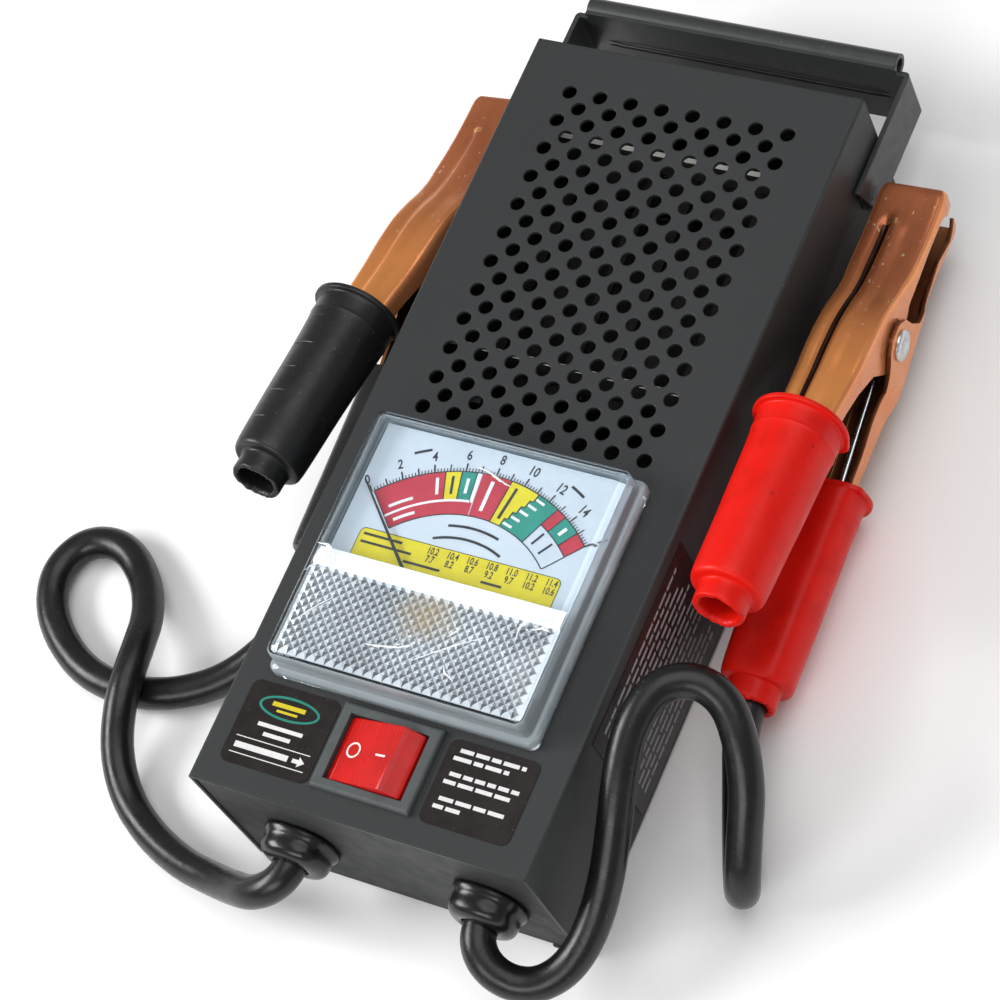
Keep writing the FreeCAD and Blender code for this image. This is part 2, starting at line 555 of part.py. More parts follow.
# =====================================================================
# LOAD RESISTOR: nichrome strip strung between two insulating boards
# =====================================================================
YF, YR, BZ = 27.4, 100.4, 42.0
boards = []
for key, yy in (("insulator_front", YF), ("insulator_rear", YR)):
    bb = box(-44, yy - 0.8, 12.0, 88, 1.6, BZ - 12.0)
    slots = [box(-36 + 12 * i, yy - 2, 31.0, 4.4, 4, 1.6) for i in range(7)]
    holes = [cyl(x, yy - 3, 15.5, 1.6, 6, "Y") for x in (-38, 38)]
    node(cut(bb, *(slots + holes)), key)
# serpentine strip, 4 mm by 1 mm
strip = []
for i in range(7):
    strip.append(box(-35.8 + 12 * i, YF - 6, 31.3, 4.0, YR - YF + 12, 1.0))
for i in range(6):
    yy = YR + 6 - 4.0 if i % 2 == 0 else YF - 6
    strip.append(box(-35.8 + 12 * i, yy, 31.3, 16.0, 4.0, 1.0))
node(fuse(*strip), "load_element")
# pressed bracket under each board
br = []
for yy in (YF, YR):
    sg = 1 if yy == YF else -1
    foot = box(-42, min(yy - sg * 0.85, yy - sg * 12.85) if sg > 0 else yy + 0.85, 2.55, 84, 12.0, 1.2)
    wall = box(-42, (yy - 0.85 - 1.2) if sg > 0 else (yy + 0.85), 2.55, 84, 1.2, 18.0)
    hs = [cyl(x, yy - 8, 15.5, 1.6, 16, "Y") for x in (-38, 38)]
    fs_ = [cyl(x, yy - sg * 7.5, 1.0, 1.6, 5.0) for x in (-30, 30)]
    br.append(cut(fuse(foot, wall), *(hs + fs_)))
node(group(*br), "element_brackets")
bs = []
for yy in (YF, YR):
    sg = 1 if yy == YF else -1
    for x in (-38, 38):
        ya_ = yy - sg * 0.0
        sh = cyl(x, yy - 3.6, 15.5, 1.5, 7.2, "Y")
        hd = cyl(x, (yy + 0.85) if sg > 0 else (yy - 0.85 - 1.8), 15.5, 2.9, 1.8, "Y")
        bs.append(fuse(sh, hd))
    for x in (-30, 30):
        sh = cyl(x, yy - sg * 7.5, 2.6, 1.5, 3.0)
        hd = cyl(x, yy - sg * 7.5, 3.8, 2.9, 1.8)
        bs.append(fuse(sh, hd))
node(group(*bs), "bracket_screws")
# bright reflector tray under the strip
hs1 = box(-41, YF + 3.5, 8.0, 82, YR - YF - 7.0, 0.8)
hs2 = box(-41, YF + 3.5, 2.55, 0.8, YR - YF - 7.0, 5.5)
hs3 = box(40.2, YF + 3.5, 2.55, 0.8, YR - YF - 7.0, 5.5)
node(fuse(hs1, hs2, hs3), "heat_shield")


# =====================================================================
# ROUTED ROUND TUBES
# =====================================================================
def tube(pts, r, report=None):
    """Round tube along straight runs joined by tangent arcs; each arc takes
    0.45 of its shorter run."""
    P = [Vector(*p) for p in pts]
    edges, radii, length = [], [], 0.0
    last = P[0]
    for i in range(1, len(P) - 1):
        a = P[i - 1] - P[i]
        c = P[i + 1] - P[i]
        la, lc = a.Length, c.Length
        a.normalize()
        c.normalize()
        turn = math.pi - a.getAngle(c)
        d = 0.45 * min(la, lc)
        R = d / math.tan(turn / 2)
        radii.append(R)
        t1 = P[i] + a * d
        t2 = P[i] + c * d
        bis = a + c
        bis.normalize()
        cen = P[i] + bis * (R / math.cos(turn / 2))
        m = cen + (P[i] - cen).normalize() * R
        e0 = Part.LineSegment(last, t1)
        edges.append(e0.toShape())
        length += (t1 - last).Length
        edges.append(Part.Arc(t1, m, t2).toShape())
        length += R * turn
        last = t2
    edges.append(Part.LineSegment(last, P[-1]).toShape())
    length += (P[-1] - last).Length
    path = Part.Wire(edges)
    d0 = P[1] - P[0]
    prof = Part.Wire([Part.Circle(P[0], d0, r).toShape()])
    sh = path.makePipeShell([prof], True, False)
    if sh.Volume < 0:
        sh.reverse()
    area = math.pi * r * r
    if report:
        print(report, "length %.1f volume ratio %.4f radii" % (length, sh.Volume / (area * length)),
              ["%.1f" % q for q in radii], "runs", ["%.1f" % (P[i + 1] - P[i]).Length for i in range(len(P) - 1)])
    assert abs(sh.Volume / (area * length) - 1) < 0.01
    return sh


# internal wiring, clipped inside the case
gxl, gx, gz = S("gland_left_x"), S("gland_right_x"), S("gland_z")
feature(tube([(gx, -112.5, gz), (gx + 1, -103, gz - 0.5), (36, -92, 20), (40, -72, 9.0), (40, -40, 6.5), (41, -8, 6.6), (38, 8.2, 12), (36.5, 16.2, 24)], 2.2, "wire_red"), "inner_wire_red")
feature(tube([(gxl, -112.5, gz), (gxl + 0.5, -104, gz), (-22.5, -98.5, 24.0), (-16, -98, 20.5), (-9.9, -101, 20.0), (-9.9, -102.8, 24.2)], 2.2, "wire_black"), "inner_wire_black")
feature(tube([(6.8, -103.2, 24.6), (7.4, -103, 17.0), (12, -98, 9.0), (8, -80, 6.4), (-14, -50, 6.3), (-34, -18, 6.4), (-38, 6.2, 10), (-36, 16.2, 24)], 2.0, "wire_load"), "load_wire")
lugs = [box(-35.8 + 0.4, YF - 12.5, 29.9, 3.2, 9.4, 1.3), box(36.2 + 0.4 - 0.0, YF - 12.5, 29.9, 3.2, 9.4, 1.3)]
node(group(*lugs), "element_lugs")

# =====================================================================
# CABLE GLANDS
# =====================================================================
def gland(label, sgn):
    X = "Sizes." + sgn
    head = cyl(X, "-Sizes.body_l / 2 + 0.45 - Sizes.gland_out", "Sizes.gland_z", "Sizes.gland_rad", "Sizes.gland_out", "Y")
    head = fillet(head, 2.4, lambda e: e.BoundBox.YMax < -L / 2 + 0.45 - 8.9)
    neck = cyl(X, "-Sizes.body_l / 2 + 0.2", "Sizes.gland_z", 7.4, 4.0, "Y")
    grip = cyl(X, "-Sizes.body_l / 2 + 0.5 + Sizes.sheet_t + 0.1", "Sizes.gland_z", 8.6, 6.0, "Y")
    bore_ = cyl(X, "-Sizes.body_l / 2 - 20", "Sizes.gland_z", "Sizes.cord_d / 2", 40.0, "Y")
    node(cut(fuse(head, neck, grip), bore_), label)


gland("gland_left", "gland_left_x")
gland("gland_right", "gland_right_x")

# =====================================================================
# PRINTED LABELS
# =====================================================================
def plate(label, x0, y0, x1, y1, r, z, t):
    bb = box(x0, y0, z, x1 - x0, y1 - y0, t)
    node(fillet(bb, r, lambda e: e.BoundBox.ZLength > t * 0.9 and e.BoundBox.XLength < 1e-6 and e.BoundBox.YLength < 1e-6), label)


plate("label_left", -46.0, -116.0, -18.0, -91.0, 2.6, "Sizes.body_t + 0.02", 0.25)
plate("label_right", 16.6, -116.0, 43.8, -91.4, 2.6, "Sizes.body_t + 0.02", 0.25)
node(box("Sizes.body_w / 2 + 0.02", -81.0, 3.0, 0.22, 62.0, 48.6), "side_label")

# =====================================================================
# LEAD CLAMPS, drawn about their rivet: local Y to the nose, local Z up
# =====================================================================
CW, CT = S("clamp_w"), S("clamp_t")
TOP_UP = [(49, 7.8), (40, 7.2), (30, 7.1), (19, 8.0), (10, 10.0), (3, 12.6), (-4, 14.6), (-13, 15.7), (-22, 16.4), (-32, 17.8), (-42, 19.0),
          (-60, 20.6), (-88, 22.4)]
TOP_LO = [(49, 12.0), (40, 11.4), (25, 11.0), (12, 11.6), (5, 13.0), (-5, 15.4), (-17, 16.6), (-30, 18.4), (-60, 20.6), (-88, 22.4)]
UNDER_UP = [(-88, 18.0), (-60, 15.2), (-45, 13.4), (-32, 11.6), (-24, 9.6), (-15, 5.4), (-9.5, -1.5), (-6.5, -5.6), (-2.5, -7.4),
            (2.5, -7.4), (6.5, -5.4), (9.5, -2.2), (13, 0.6), (19, 2.6), (30, 3.6), (41, 3.4), (43.6, 2.2), (45, 0.8), (49, 0.6)]
UNDER_LO = [(-88, 18.0), (-60, 15.2), (-45, 13.4), (-32, 11.0), (-22, 7.4), (-13, 5.2), (-8.5, 0.5), (-6.0, -3.8), (-3.0, -6.4),
            (2.6, -6.6), (6.5, -3.4), (9.0, 2.0), (13, 7.4), (19, 8.8), (27, 8.0), (34, 6.6), (43, 8.6), (49, 5.6)]
PLAN_UP = [(49.5, CW / 2), (20, CW / 2), (13, 9.6), (-14, 9.6), (-30, 8.9), (-45, 8.1), (-89, 6.0)]
PLAN_LO = [(49.5, CW / 2), (22, CW / 2), (15, 11.25), (-9, 11.25), (-17, 9.8), (-30, 8.9), (-45, 8.1), (-89, 6.0)]


def side_solid(top, under, shrink):
    """Side outline swept right across; shrink lowers the top and lengthens the
    underside, to make the inside of the channel."""
    if shrink:
        t = [(a, c - CT) for a, c in top]
        t[0] = (top[0][0] - CT, t[0][1])
        pts2 = t + [(t[-1][0] - 3, t[-1][1]), (t[-1][0] - 3, -30), (t[0][0], -30)]
    else:
        pts2 = top + under
    p = [Vector(-30, a, c) for a, c in pts2]
    return Part.Face(Part.makePolygon(p + [p[0]])).extrude(Vector(60, 0, 0))


def plan_solid(plan, inset):
    p = [Vector(w - inset, a, -40) for a, w in plan] + [Vector(-w + inset, a, -40) for a, w in reversed(plan)]
    if inset:
        p = [Vector(v.x, v.y, v.z) for v in p]
    return Part.Face(Part.makePolygon(p + [p[0]])).extrude(Vector(0, 0, 80))


def channel(top, under, plan, mirror):
    outer = side_solid(top, under, False).common(plan_solid(plan, 0))
    inner = side_solid(top, under, True).common(plan_solid(plan, CT))
    # inner space also runs out of the cable end
    sh = outer.cut(inner)
    pin = Part.makeCylinder(S("rivet_rad") + (0.0 if mirror else 0.06), 60, Vector(-30, 0, 0), Vector(1, 0, 0))
    sh = sh.cut(pin)
    if mirror:
        sh = sh.mirror(Vector(0, 0, 0), Vector(0, 0, 1))
    return sh


C0 = Vector(0, -41.0, 16.9)
C1_UP = Vector(0, -98.0, 20.6)
C1_LOW = Vector(0, -102.0, 22.8)


def sleeve(mirror, bore_r):
    C1 = C1_LOW if mirror else C1_UP
    d = (C1 - C0)
    ln = d.Length
    d.normalize()
    body = Part.makeCone(12.2, 10.4, ln, C0, d)
    flange = Part.makeCylinder(13.9, 3.0, C0 - d * 0.2, d)
    flange = flange.makeFillet(1.0, [e for e in flange.Edges if e.Length > 50])
    spout = Part.makeCylinder(7.5, 6.0, C1 - d * 0.5, d)
    out = body.fuse([flange, spout])
    room = Part.makeCone(10.7, 8.9, ln - 6.0, C0 - d * 0.5, d)
    bore_ = Part.makeCylinder(bore_r, 30, C1 - d * (8.0 if bore_r > 4.95 else 1.5), d)
    out = out.cut(room).cut(bore_)
    # flats where the two sleeves come together when squeezed
    nrm = Vector(0, -d.z, d.y)
    if nrm.z > 0:
        nrm = nrm * -1
    for off, a0, a1 in ((8.6, -5.0, 6.0), (9.2, 6.0, 75.0)):
        bx = Part.makeBox(60, a1 - a0, 20)
        m = Placement(C0 + d * a0 + nrm * off, Rotation(Vector(1, 0, 0), Vector(d.x, d.y, d.z), nrm, "XYZ"))
        bx.Placement = m.multiply(Placement(Vector(-30, 0, 0), Rotation()))
        out = out.cut(bx)
    if mirror:
        out = out.mirror(Vector(0, 0, 0), Vector(0, 0, 1))
    return out


def leg(p0, p1, r):
    d = Vector(*p1) - Vector(*p0)
    return Part.makeCylinder(r, d.Length, Vector(*p0), d)


def spring(mirror):
    """Half of the torsion spring: its share of the coil and one leg."""
    w0 = -6.2 if mirror else 0.2
    coil = Part.makeCylinder(5.8, 6.0, Vector(w0, 0, 0), Vector(1, 0, 0))
    coil = coil.cut(Part.makeCylinder(3.0, 20, Vector(-10, 0, 0), Vector(1, 0, 0)))
    w = -5.1 if mirror else 5.1
    lg = leg((w, 0.2, -4.4), (w, -46, -14.6), 0.85)
    sh = coil.fuse(lg)
    if not mirror:
        return sh
    return sh.mirror(Vector(0, 0, 0), Vector(0, 0, 1))


def rivet():
    r = S("rivet_rad")
    sh = Part.makeCylinder(r, 25.6, Vector(-12.8, 0, 0), Vector(1, 0, 0))
    for s_ in (-1, 1):
        h_ = Part.makeCylinder(4.6, 1.5, Vector(11.3 if s_ > 0 else -12.8, 0, 0), Vector(1, 0, 0))
        h_ = h_.makeFillet(0.6, [e for e in h_.Edges if e.Length > 25 and abs(abs(e.CenterOfMass.x) - 12.8) < 0.01])
        sh = sh.fuse(h_)
    return sh.removeSplitter()


def clamp(colour, pos, yaw, tilt, roll):
    turn = Rotation(Vector(0, 0, 1), yaw).multiply(Rotation(Vector(1, 0, 0), -tilt)).multiply(Rotation(Vector(0, 1, 0), roll))
    place = Placement(Vector(pos[0], pos[1] - S("y_shift"), pos[2]), turn)
    feature(channel(TOP_UP, UNDER_UP, PLAN_UP, False), colour + "_upper_jaw", place)
    feature(channel(TOP_LO, UNDER_LO, PLAN_LO, True), colour + "_lower_jaw", place)
    feature(rivet(), colour + "_rivet", place)
    feature(spring(False), colour + "_spring_fixed", place)
    feature(spring(True), colour + "_spring_moving", place)
    feature(sleeve(False, 5.3), colour + "_upper_sleeve", place)
    feature(sleeve(True, S("cord_d") / 2), colour + "_lower_sleeve", place)
    return place


red_place = clamp("red", (68.5, 63.7, 27.6), 2.6, 4.9, 0.0)
blk_place = clamp("black", (-69.14, 65.6, 27.6), -0.49, 4.9, -8.0)
# where the leads enter the lower sleeves, and the direction they leave in
def cord_end(place, inset):
    d = (C1_LOW - C0)
    d.normalize()
    a = C1_LOW + d * (5.5 - inset)
    a = Vector(a.x, a.y, -a.z)
    dd = Vector(d.x, d.y, -d.z)
    return place.multVec(a), place.Rotation.multVec(dd)


for nme, pl_ in (("red", red_place), ("black", blk_place)):
    a, d = cord_end(pl_, 0.0)
    print(nme, "sleeve mouth", [round(v, 2) for v in (a.x, a.y + S("y_shift"), a.z)], "direction", [round(v, 3) for v in d])

# =====================================================================
# LEADS: out of the glands, round, and into the lower grips
# =====================================================================
R0 = S("cord_d") / 2
ROUTE_RED = [(32.5, -126.0, 28.0), (32.5, -132.4, 28.0), (35.0, -137.7, 26.4), (39.5, -140.8, 23.8), (45.5, -141.3, 20.9), (52.2, -139.1, 20.3),
             (58.5, -132.8, 22.0), (62.2, -122.9, 26.3), (63.4, -111.4, 32.5), (63.1, -100.1, 39.8), (62.1, -88.6, 47.4), (61.3, -75.3, 53.9),
             (64.7, -62.3, 56.8), (73.6, -56.8, 55.2), (82.7, -59.0, 51.3), (88.7, -67.0, 46.1), (92.6, -76.9, 38.7), (93.5, -86.7, 30.7),
             (94.3, -95.6, 22.0), (92.2, -96.9, 12.3), (87.6, -91.3, 5.3), (82.6, -79.8, 5.3), (78.2, -66.4, 9.2), (74.1, -53.6, 13.6), (73.45, -44.2, 13.54)]
ROUTE_BLACK = [(-26.8, -126.0, 28.0), (-26.8, -132.7, 28.0), (-30.3, -138.2, 26.6), (-37.1, -140.6, 23.0), (-45.2, -139.6, 17.8), (-55.6, -137.8, 12.7),
               (-69.3, -135.4, 8.6), (-84.3, -129.8, 5.9), (-97.3, -121.5, 5.6), (-105.4, -109.7, 9.9), (-108.1, -95.1, 15.8), (-110.5, -80.2, 14.9),
               (-115.9, -66.7, 9.0), (-125.0, -54.8, 5.3), (-137.0, -46.6, 5.3), (-149.3, -48.8, 5.3), (-155.0, -59.9, 5.3), (-151.3, -71.8, 5.3),
               (-142.0, -81.4, 5.3), (-128.9, -88.8, 5.3), (-113.4, -90.8, 5.3), (-98.0, -87.3, 5.3), (-84.0, -78.6, 5.4), (-73.2, -65.8, 9.0),
               (-67.2, -52.5, 13.55), (-66.82, -42.4, 13.77)]
for label, route in (("cord_red", ROUTE_RED), ("cord_black", ROUTE_BLACK)):
    feature(tube(route, R0, label), label)

# =====================================================================
doc.recompute()
bad = 0
for o in doc.Objects:
    if "Invalid" in o.State or "Error" in o.State:
        print("BAD STATE", o.Name, o.Label, o.State)
        bad += 1
for label, o in NODES:
    s_ = o.Shape
    if s_.isNull() or not s_.isValid() or s_.Volume <= 0:
        print("BAD SHAPE", label, s_.isNull() or s_.isValid())
        bad += 1
assert len(set(l for l, o in NODES)) == len(NODES) <= 60
assert bad == 0, "%d objects failed" % bad
os.makedirs("parts", exist_ok=True)
CORD = ("cord_", "red_", "black_")
lo = [1e9] * 3
hi = [-1e9] * 3
for label, o in NODES:
    o.Shape.exportStep("parts/%s.step" % label)
    bb = o.Shape.BoundBox
    print("%-18s solids %2d vol %9.1f  x %7.1f %7.1f  y %7.1f %7.1f  z %6.1f %6.1f" % (label, len(o.Shape.Solids), o.Shape.Volume, bb.XMin, bb.XMax, bb.YMin, bb.YMax, bb.ZMin, bb.ZMax))
    if not label.startswith(CORD):
        for k, (p, q) in enumerate(((bb.XMin, bb.XMax), (bb.YMin, bb.YMax), (bb.ZMin, bb.ZMax))):
            lo[k] = min(lo[k], p)
            hi[k] = max(hi[k], q)
print(len(NODES), "nodes; box without leads", [round(v, 3) for v in lo], [round(v, 3) for v in hi], "middle y", round((lo[1] + hi[1]) / 2, 3), "x", round((lo[0] + hi[0]) / 2, 3))
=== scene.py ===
import bpy, bmesh, math, random
from mathutils import Vector, Matrix, noise


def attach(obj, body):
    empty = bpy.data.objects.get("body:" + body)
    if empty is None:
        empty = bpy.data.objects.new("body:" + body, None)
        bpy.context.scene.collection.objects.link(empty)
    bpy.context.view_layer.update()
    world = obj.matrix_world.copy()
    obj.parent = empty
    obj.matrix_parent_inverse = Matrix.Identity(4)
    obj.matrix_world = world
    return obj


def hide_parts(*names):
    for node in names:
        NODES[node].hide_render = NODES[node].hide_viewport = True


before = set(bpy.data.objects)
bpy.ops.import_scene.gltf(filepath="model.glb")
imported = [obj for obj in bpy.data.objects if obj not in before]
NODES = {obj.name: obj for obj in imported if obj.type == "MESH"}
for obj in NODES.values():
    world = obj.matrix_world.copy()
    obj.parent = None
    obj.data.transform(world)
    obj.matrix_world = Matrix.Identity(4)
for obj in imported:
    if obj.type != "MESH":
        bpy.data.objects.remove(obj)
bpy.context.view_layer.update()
YS = 9.37


def P(x, y, z):
    """Millimetres about the middle of the case to metres in the row frame."""
    return Vector((x / 1000.0, (y - YS) / 1000.0, z / 1000.0))


# ------------------------------------------------------------------ camera
cam_data = bpy.data.cameras.new("camera")
cam = bpy.data.objects.new("camera", cam_data)
bpy.context.scene.collection.objects.link(cam)
R0 = Vector((0.8703307, 0.3900198, -0.300681))
R1 = Vector((0.2252444, -0.858214, -0.4612307))
R2 = Vector((-0.4379377, 0.3336965, -0.8347797))
rot = Matrix((R0, -R1, -R2)).transposed()
cam.matrix_world = Matrix.Translation(P(405.462, -331.431, 829.156)) @ rot.to_4x4()
cam_data.lens = 121.589
cam_data.sensor_width = 36.0
cam_data.clip_start, cam_data.clip_end = 0.05, 20.0
bpy.context.scene.camera = cam

# --------------------------------------------------------------- materials


def node(nt, kind, **inputs):
    n = nt.nodes.new(kind)
    for k, v in inputs.items():
        n.inputs[k.replace("_", " ")].default_value = v
    return n


def rgba(c):
    return (c[0], c[1], c[2], 1.0)


def surface(name, colours, scale=60.0, detail=4.0, rough=(0.4, 0.55), rough_scale=180.0, metallic=0.0, bump=None,
            bump2=None, bevel=None, coat=0.0, coat_rough=0.2, specular=0.5, speck=None, sheen=0.0, stretch=None,
            lit_top_tint=None, ior=1.5, sss=0.0, emission=None, transmission=0.0):
    """A layered procedural finish: clouded colour, varied gloss, one or two bumps, fine specks, softened edges."""
    m = bpy.data.materials.new(name)
    m.use_nodes = True
    nt = m.node_tree
    L = nt.links.new
    nt.nodes.clear()
    out = nt.nodes.new("ShaderNodeOutputMaterial")
    b = nt.nodes.new("ShaderNodeBsdfPrincipled")
    L(b.outputs[0], out.inputs[0])
    tc = nt.nodes.new("ShaderNodeTexCoord")
    vec = tc.outputs["Object"]
    if stretch:
        mp = nt.nodes.new("ShaderNodeMapping")
        mp.inputs["Scale"].default_value = stretch
        L(vec, mp.inputs["Vector"])
        vec = mp.outputs[0]
    n1 = node(nt, "ShaderNodeTexNoise", Scale=scale, Detail=detail, Roughness=0.6)
    L(vec, n1.inputs["Vector"])
    ramp = nt.nodes.new("ShaderNodeValToRGB")
    el = ramp.color_ramp.elements
    k = len(colours)
    el[0].position, el[0].color = 0.3, rgba(colours[0])
    el[1].position, el[1].color = 0.7, rgba(colours[-1])
    for i in range(1, k - 1):
        e = el.new(0.3 + 0.4 * i / (k - 1))
        e.color = rgba(colours[i])
    L(n1.outputs["Fac"], ramp.inputs["Fac"])
    col = ramp.outputs["Color"]
    if lit_top_tint:
        # faces that look up carry another tint: painted light on the upward faces, while the other faces keep a darker
        # painted shade
        geo = nt.nodes.new("ShaderNodeNewGeometry")
        sep = nt.nodes.new("ShaderNodeSeparateXYZ")
        L(geo.outputs["Normal"], sep.inputs[0])
        nz = node(nt, "ShaderNodeTexNoise", Scale=lit_top_tint[3], Detail=6.0)
        L(vec, nz.inputs["Vector"])
        ad = nt.nodes.new("ShaderNodeMath")
        ad.operation = "MULTIPLY_ADD"
        L(nz.outputs["Fac"], ad.inputs[0])
        ad.inputs[1].default_value = 0.9
        L(sep.outputs["Z"], ad.inputs[2])
        mr = nt.nodes.new("ShaderNodeMapRange")
        mr.inputs["From Min"].default_value = lit_top_tint[1]
        mr.inputs["From Max"].default_value = lit_top_tint[2]
        L(ad.outputs[0], mr.inputs["Value"])
        mx = nt.nodes.new("ShaderNodeMixRGB")
        L(mr.outputs[0], mx.inputs["Fac"])
        L(col, mx.inputs["Color1"])
        mx.inputs["Color2"].default_value = rgba(lit_top_tint[0])
        col = mx.outputs[0]
    if speck:
        # speck = (colour, cell scale, low, high)
        vo = node(nt, "ShaderNodeTexNoise", Scale=speck[1], Detail=1.0)
        L(vec, vo.inputs["Vector"])
        mr = nt.nodes.new("ShaderNodeMapRange")
        mr.inputs["From Min"].default_value = speck[2]
        mr.inputs["From Max"].default_value = speck[3]
        L(vo.outputs["Fac"], mr.inputs["Value"])
        mx = nt.nodes.new("ShaderNodeMixRGB")
        L(mr.outputs[0], mx.inputs["Fac"])
        L(col, mx.inputs["Color1"])
        mx.inputs["Color2"].default_value = rgba(speck[0])
        col = mx.outputs[0]
    L(col, b.inputs["Base Color"])
    n2 = node(nt, "ShaderNodeTexNoise", Scale=rough_scale, Detail=5.0)
    L(vec, n2.inputs["Vector"])
    rr = nt.nodes.new("ShaderNodeMapRange")
    rr.inputs["From Min"].default_value, rr.inputs["From Max"].default_value = 0.3, 0.7
    rr.inputs["To Min"].default_value, rr.inputs["To Max"].default_value = rough
    L(n2.outputs["Fac"], rr.inputs["Value"])
    L(rr.outputs[0], b.inputs["Roughness"])
    b.inputs["Metallic"].default_value = metallic
    b.inputs["Coat Weight"].default_value = coat
    b.inputs["Coat Roughness"].default_value = coat_rough
    b.inputs["Specular IOR Level"].default_value = specular
    b.inputs["IOR"].default_value = ior
    b.inputs["Sheen Weight"].default_value = sheen
    b.inputs["Transmission Weight"].default_value = transmission
    if sss:
        b.inputs["Subsurface Weight"].default_value = sss
        b.inputs["Subsurface Radius"].default_value = (0.004, 0.0008, 0.0005)
        b.inputs["Subsurface Scale"].default_value = 1.0
    nrm = None
    if bevel:
        bv = nt.nodes.new("ShaderNodeBevel")
        bv.samples = 4
        bv.inputs["Radius"].default_value = bevel
        nrm = bv.outputs[0]
    for bp in (bump, bump2):
        if not bp:
            continue
        tex = node(nt, "ShaderNodeTexNoise", Scale=bp[0], Detail=3.0)
        L(vec, tex.inputs["Vector"])
        bn = nt.nodes.new("ShaderNodeBump")
        bn.inputs["Distance"].default_value = bp[1]
        bn.inputs["Strength"].default_value = bp[2]
        L(tex.outputs["Fac"], bn.inputs["Height"])
        if nrm:
            L(nrm, bn.inputs["Normal"])
        nrm = bn.outputs[0]
    if nrm:
        L(nrm, b.inputs["Normal"])
    return m


M = {}
M["powder"] = surface("charcoal_powder_coat", [(0.026, 0.028, 0.029), (0.030, 0.032, 0.033)], scale=14, rough=(0.44, 0.50),
                      rough_scale=900, bump=(2600, 0.00006, 0.35), bump2=(60, 0.0002, 0.04), bevel=0.0007,
                      speck=((0.10, 0.10, 0.095), 1500, 0.74, 0.80), specular=0.3)
# a darker copy of the charcoal coat for the base tray: painted shade for the inside of the case
M["powder_painted_shade"] = surface("charcoal_powder_coat_inside_painted_shade", [(0.016, 0.017, 0.018), (0.022, 0.023, 0.024)], scale=30,
                           rough=(0.5, 0.65), specular=0.3, bump=(2200, 0.00006, 0.3), bevel=0.0005)
M["powder_handle"] = surface("charcoal_powder_coat_handle", [(0.024, 0.026, 0.027), (0.031, 0.033, 0.034)], scale=18,
                             rough=(0.30, 0.42), rough_scale=220, bump=(2200, 0.00006, 0.35), bump2=(180, 0.0001, 0.12),
                             bevel=0.0006, speck=((0.14, 0.14, 0.13), 1300, 0.75, 0.80))
M["zinc"] = surface("zinc_plated_steel", [(0.48, 0.50, 0.52), (0.66, 0.68, 0.70), (0.55, 0.56, 0.58)], scale=320, metallic=1.0,
                    rough=(0.22, 0.42), rough_scale=900, bump=(1500, 0.00003, 0.5), bevel=0.0003)
M["spring"] = surface("bright_spring_wire", [(0.55, 0.56, 0.58), (0.75, 0.76, 0.78)], scale=500, metallic=1.0,
                      rough=(0.14, 0.30), rough_scale=900, bump=(900, 0.00002, 0.5))
M["iron"] = surface("grey_iron", [(0.10, 0.10, 0.11), (0.18, 0.18, 0.19)], scale=300, metallic=0.9, rough=(0.4, 0.6),
                    bump=(900, 0.00005, 0.5), bevel=0.0004)
M["blued"] = surface("heat_blackened_steel", [(0.012, 0.012, 0.013), (0.024, 0.023, 0.023)], scale=160, metallic=0.5, rough=(0.5, 0.7),
                     bump=(900, 0.00004, 0.5), bevel=0.0003)
M["brass"] = surface("brass", [(0.62, 0.42, 0.16), (0.78, 0.58, 0.26)], scale=250, metallic=1.0, rough=(0.22, 0.4),
                     bump=(900, 0.00003, 0.4), bevel=0.0003)
M["copper_wire"] = surface("enamelled_copper", [(0.50, 0.20, 0.08), (0.68, 0.31, 0.13)], scale=600, metallic=1.0,
                           rough=(0.2, 0.35), bump=(3000, 0.00005, 0.5))
# the board is white all over: its dark base colours are painted shade on the sides, and the white on the upward faces
# is painted light
M["ceramic"] = surface("white_insulating_board", [(0.045, 0.042, 0.038), (0.070, 0.064, 0.056)], scale=120, rough=(0.6, 0.8),
                       lit_top_tint=((0.95, 0.94, 0.89), 0.85, 1.15, 300.0),
                       bump=(1400, 0.00008, 0.5), speck=((0.5, 0.48, 0.42), 500, 0.72, 0.79))
M["nichrome"] = surface("resistance_strip", [(0.020, 0.018, 0.017), (0.045, 0.040, 0.038)], scale=180, metallic=0.7, rough=(0.40, 0.6),
                        bump=(1200, 0.00004, 0.5), bevel=0.0002)
M["black_gloss"] = surface("gloss_black_moulding", [(0.006, 0.006, 0.0065), (0.010, 0.010, 0.0105)], scale=160,
                           rough=(0.16, 0.28), rough_scale=200, bump=(500, 0.00006, 0.35), bevel=0.0004, specular=0.4)
M["bezel"] = surface("textured_black_moulding", [(0.060, 0.068, 0.068), (0.080, 0.090, 0.090)], scale=200, specular=0.3, rough=(0.38, 0.5),
                     bump=(3200, 0.00010, 0.55), bevel=0.0003)
M["red_wire"] = surface("red_wire", [(0.45, 0.02, 0.015), (0.56, 0.03, 0.02)], scale=200, rough=(0.35, 0.5), bump=(700, 0.00005, 0.4))
M["cord"] = surface("black_lead_vinyl", [(0.0045, 0.0045, 0.005), (0.008, 0.008, 0.0085)], scale=90, rough=(0.25, 0.36),
                    rough_scale=240, bump=(420, 0.00018, 0.35), bump2=(2600, 0.00004, 0.25),
                    speck=((0.03, 0.03, 0.03), 900, 0.70, 0.78), specular=0.4)
M["red_vinyl"] = surface("red_vinyl", [(0.58, 0.005, 0.002), (0.70, 0.008, 0.003), (0.64, 0.006, 0.002)], scale=70,
                         rough=(0.32, 0.44), rough_scale=120, bump=(220, 0.00035, 0.35), bump2=(1800, 0.00005, 0.25),
                         speck=((0.40, 0.005, 0.004), 420, 0.73, 0.80), specular=0.22)
M["black_vinyl"] = surface("black_vinyl", [(0.0055, 0.0055, 0.006), (0.011, 0.011, 0.0115)], scale=70, specular=0.4, rough=(0.30, 0.42),
                           rough_scale=120, bump=(220, 0.00030, 0.35), bump2=(1800, 0.00005, 0.25),
                           speck=((0.05, 0.05, 0.05), 900, 0.71, 0.77))
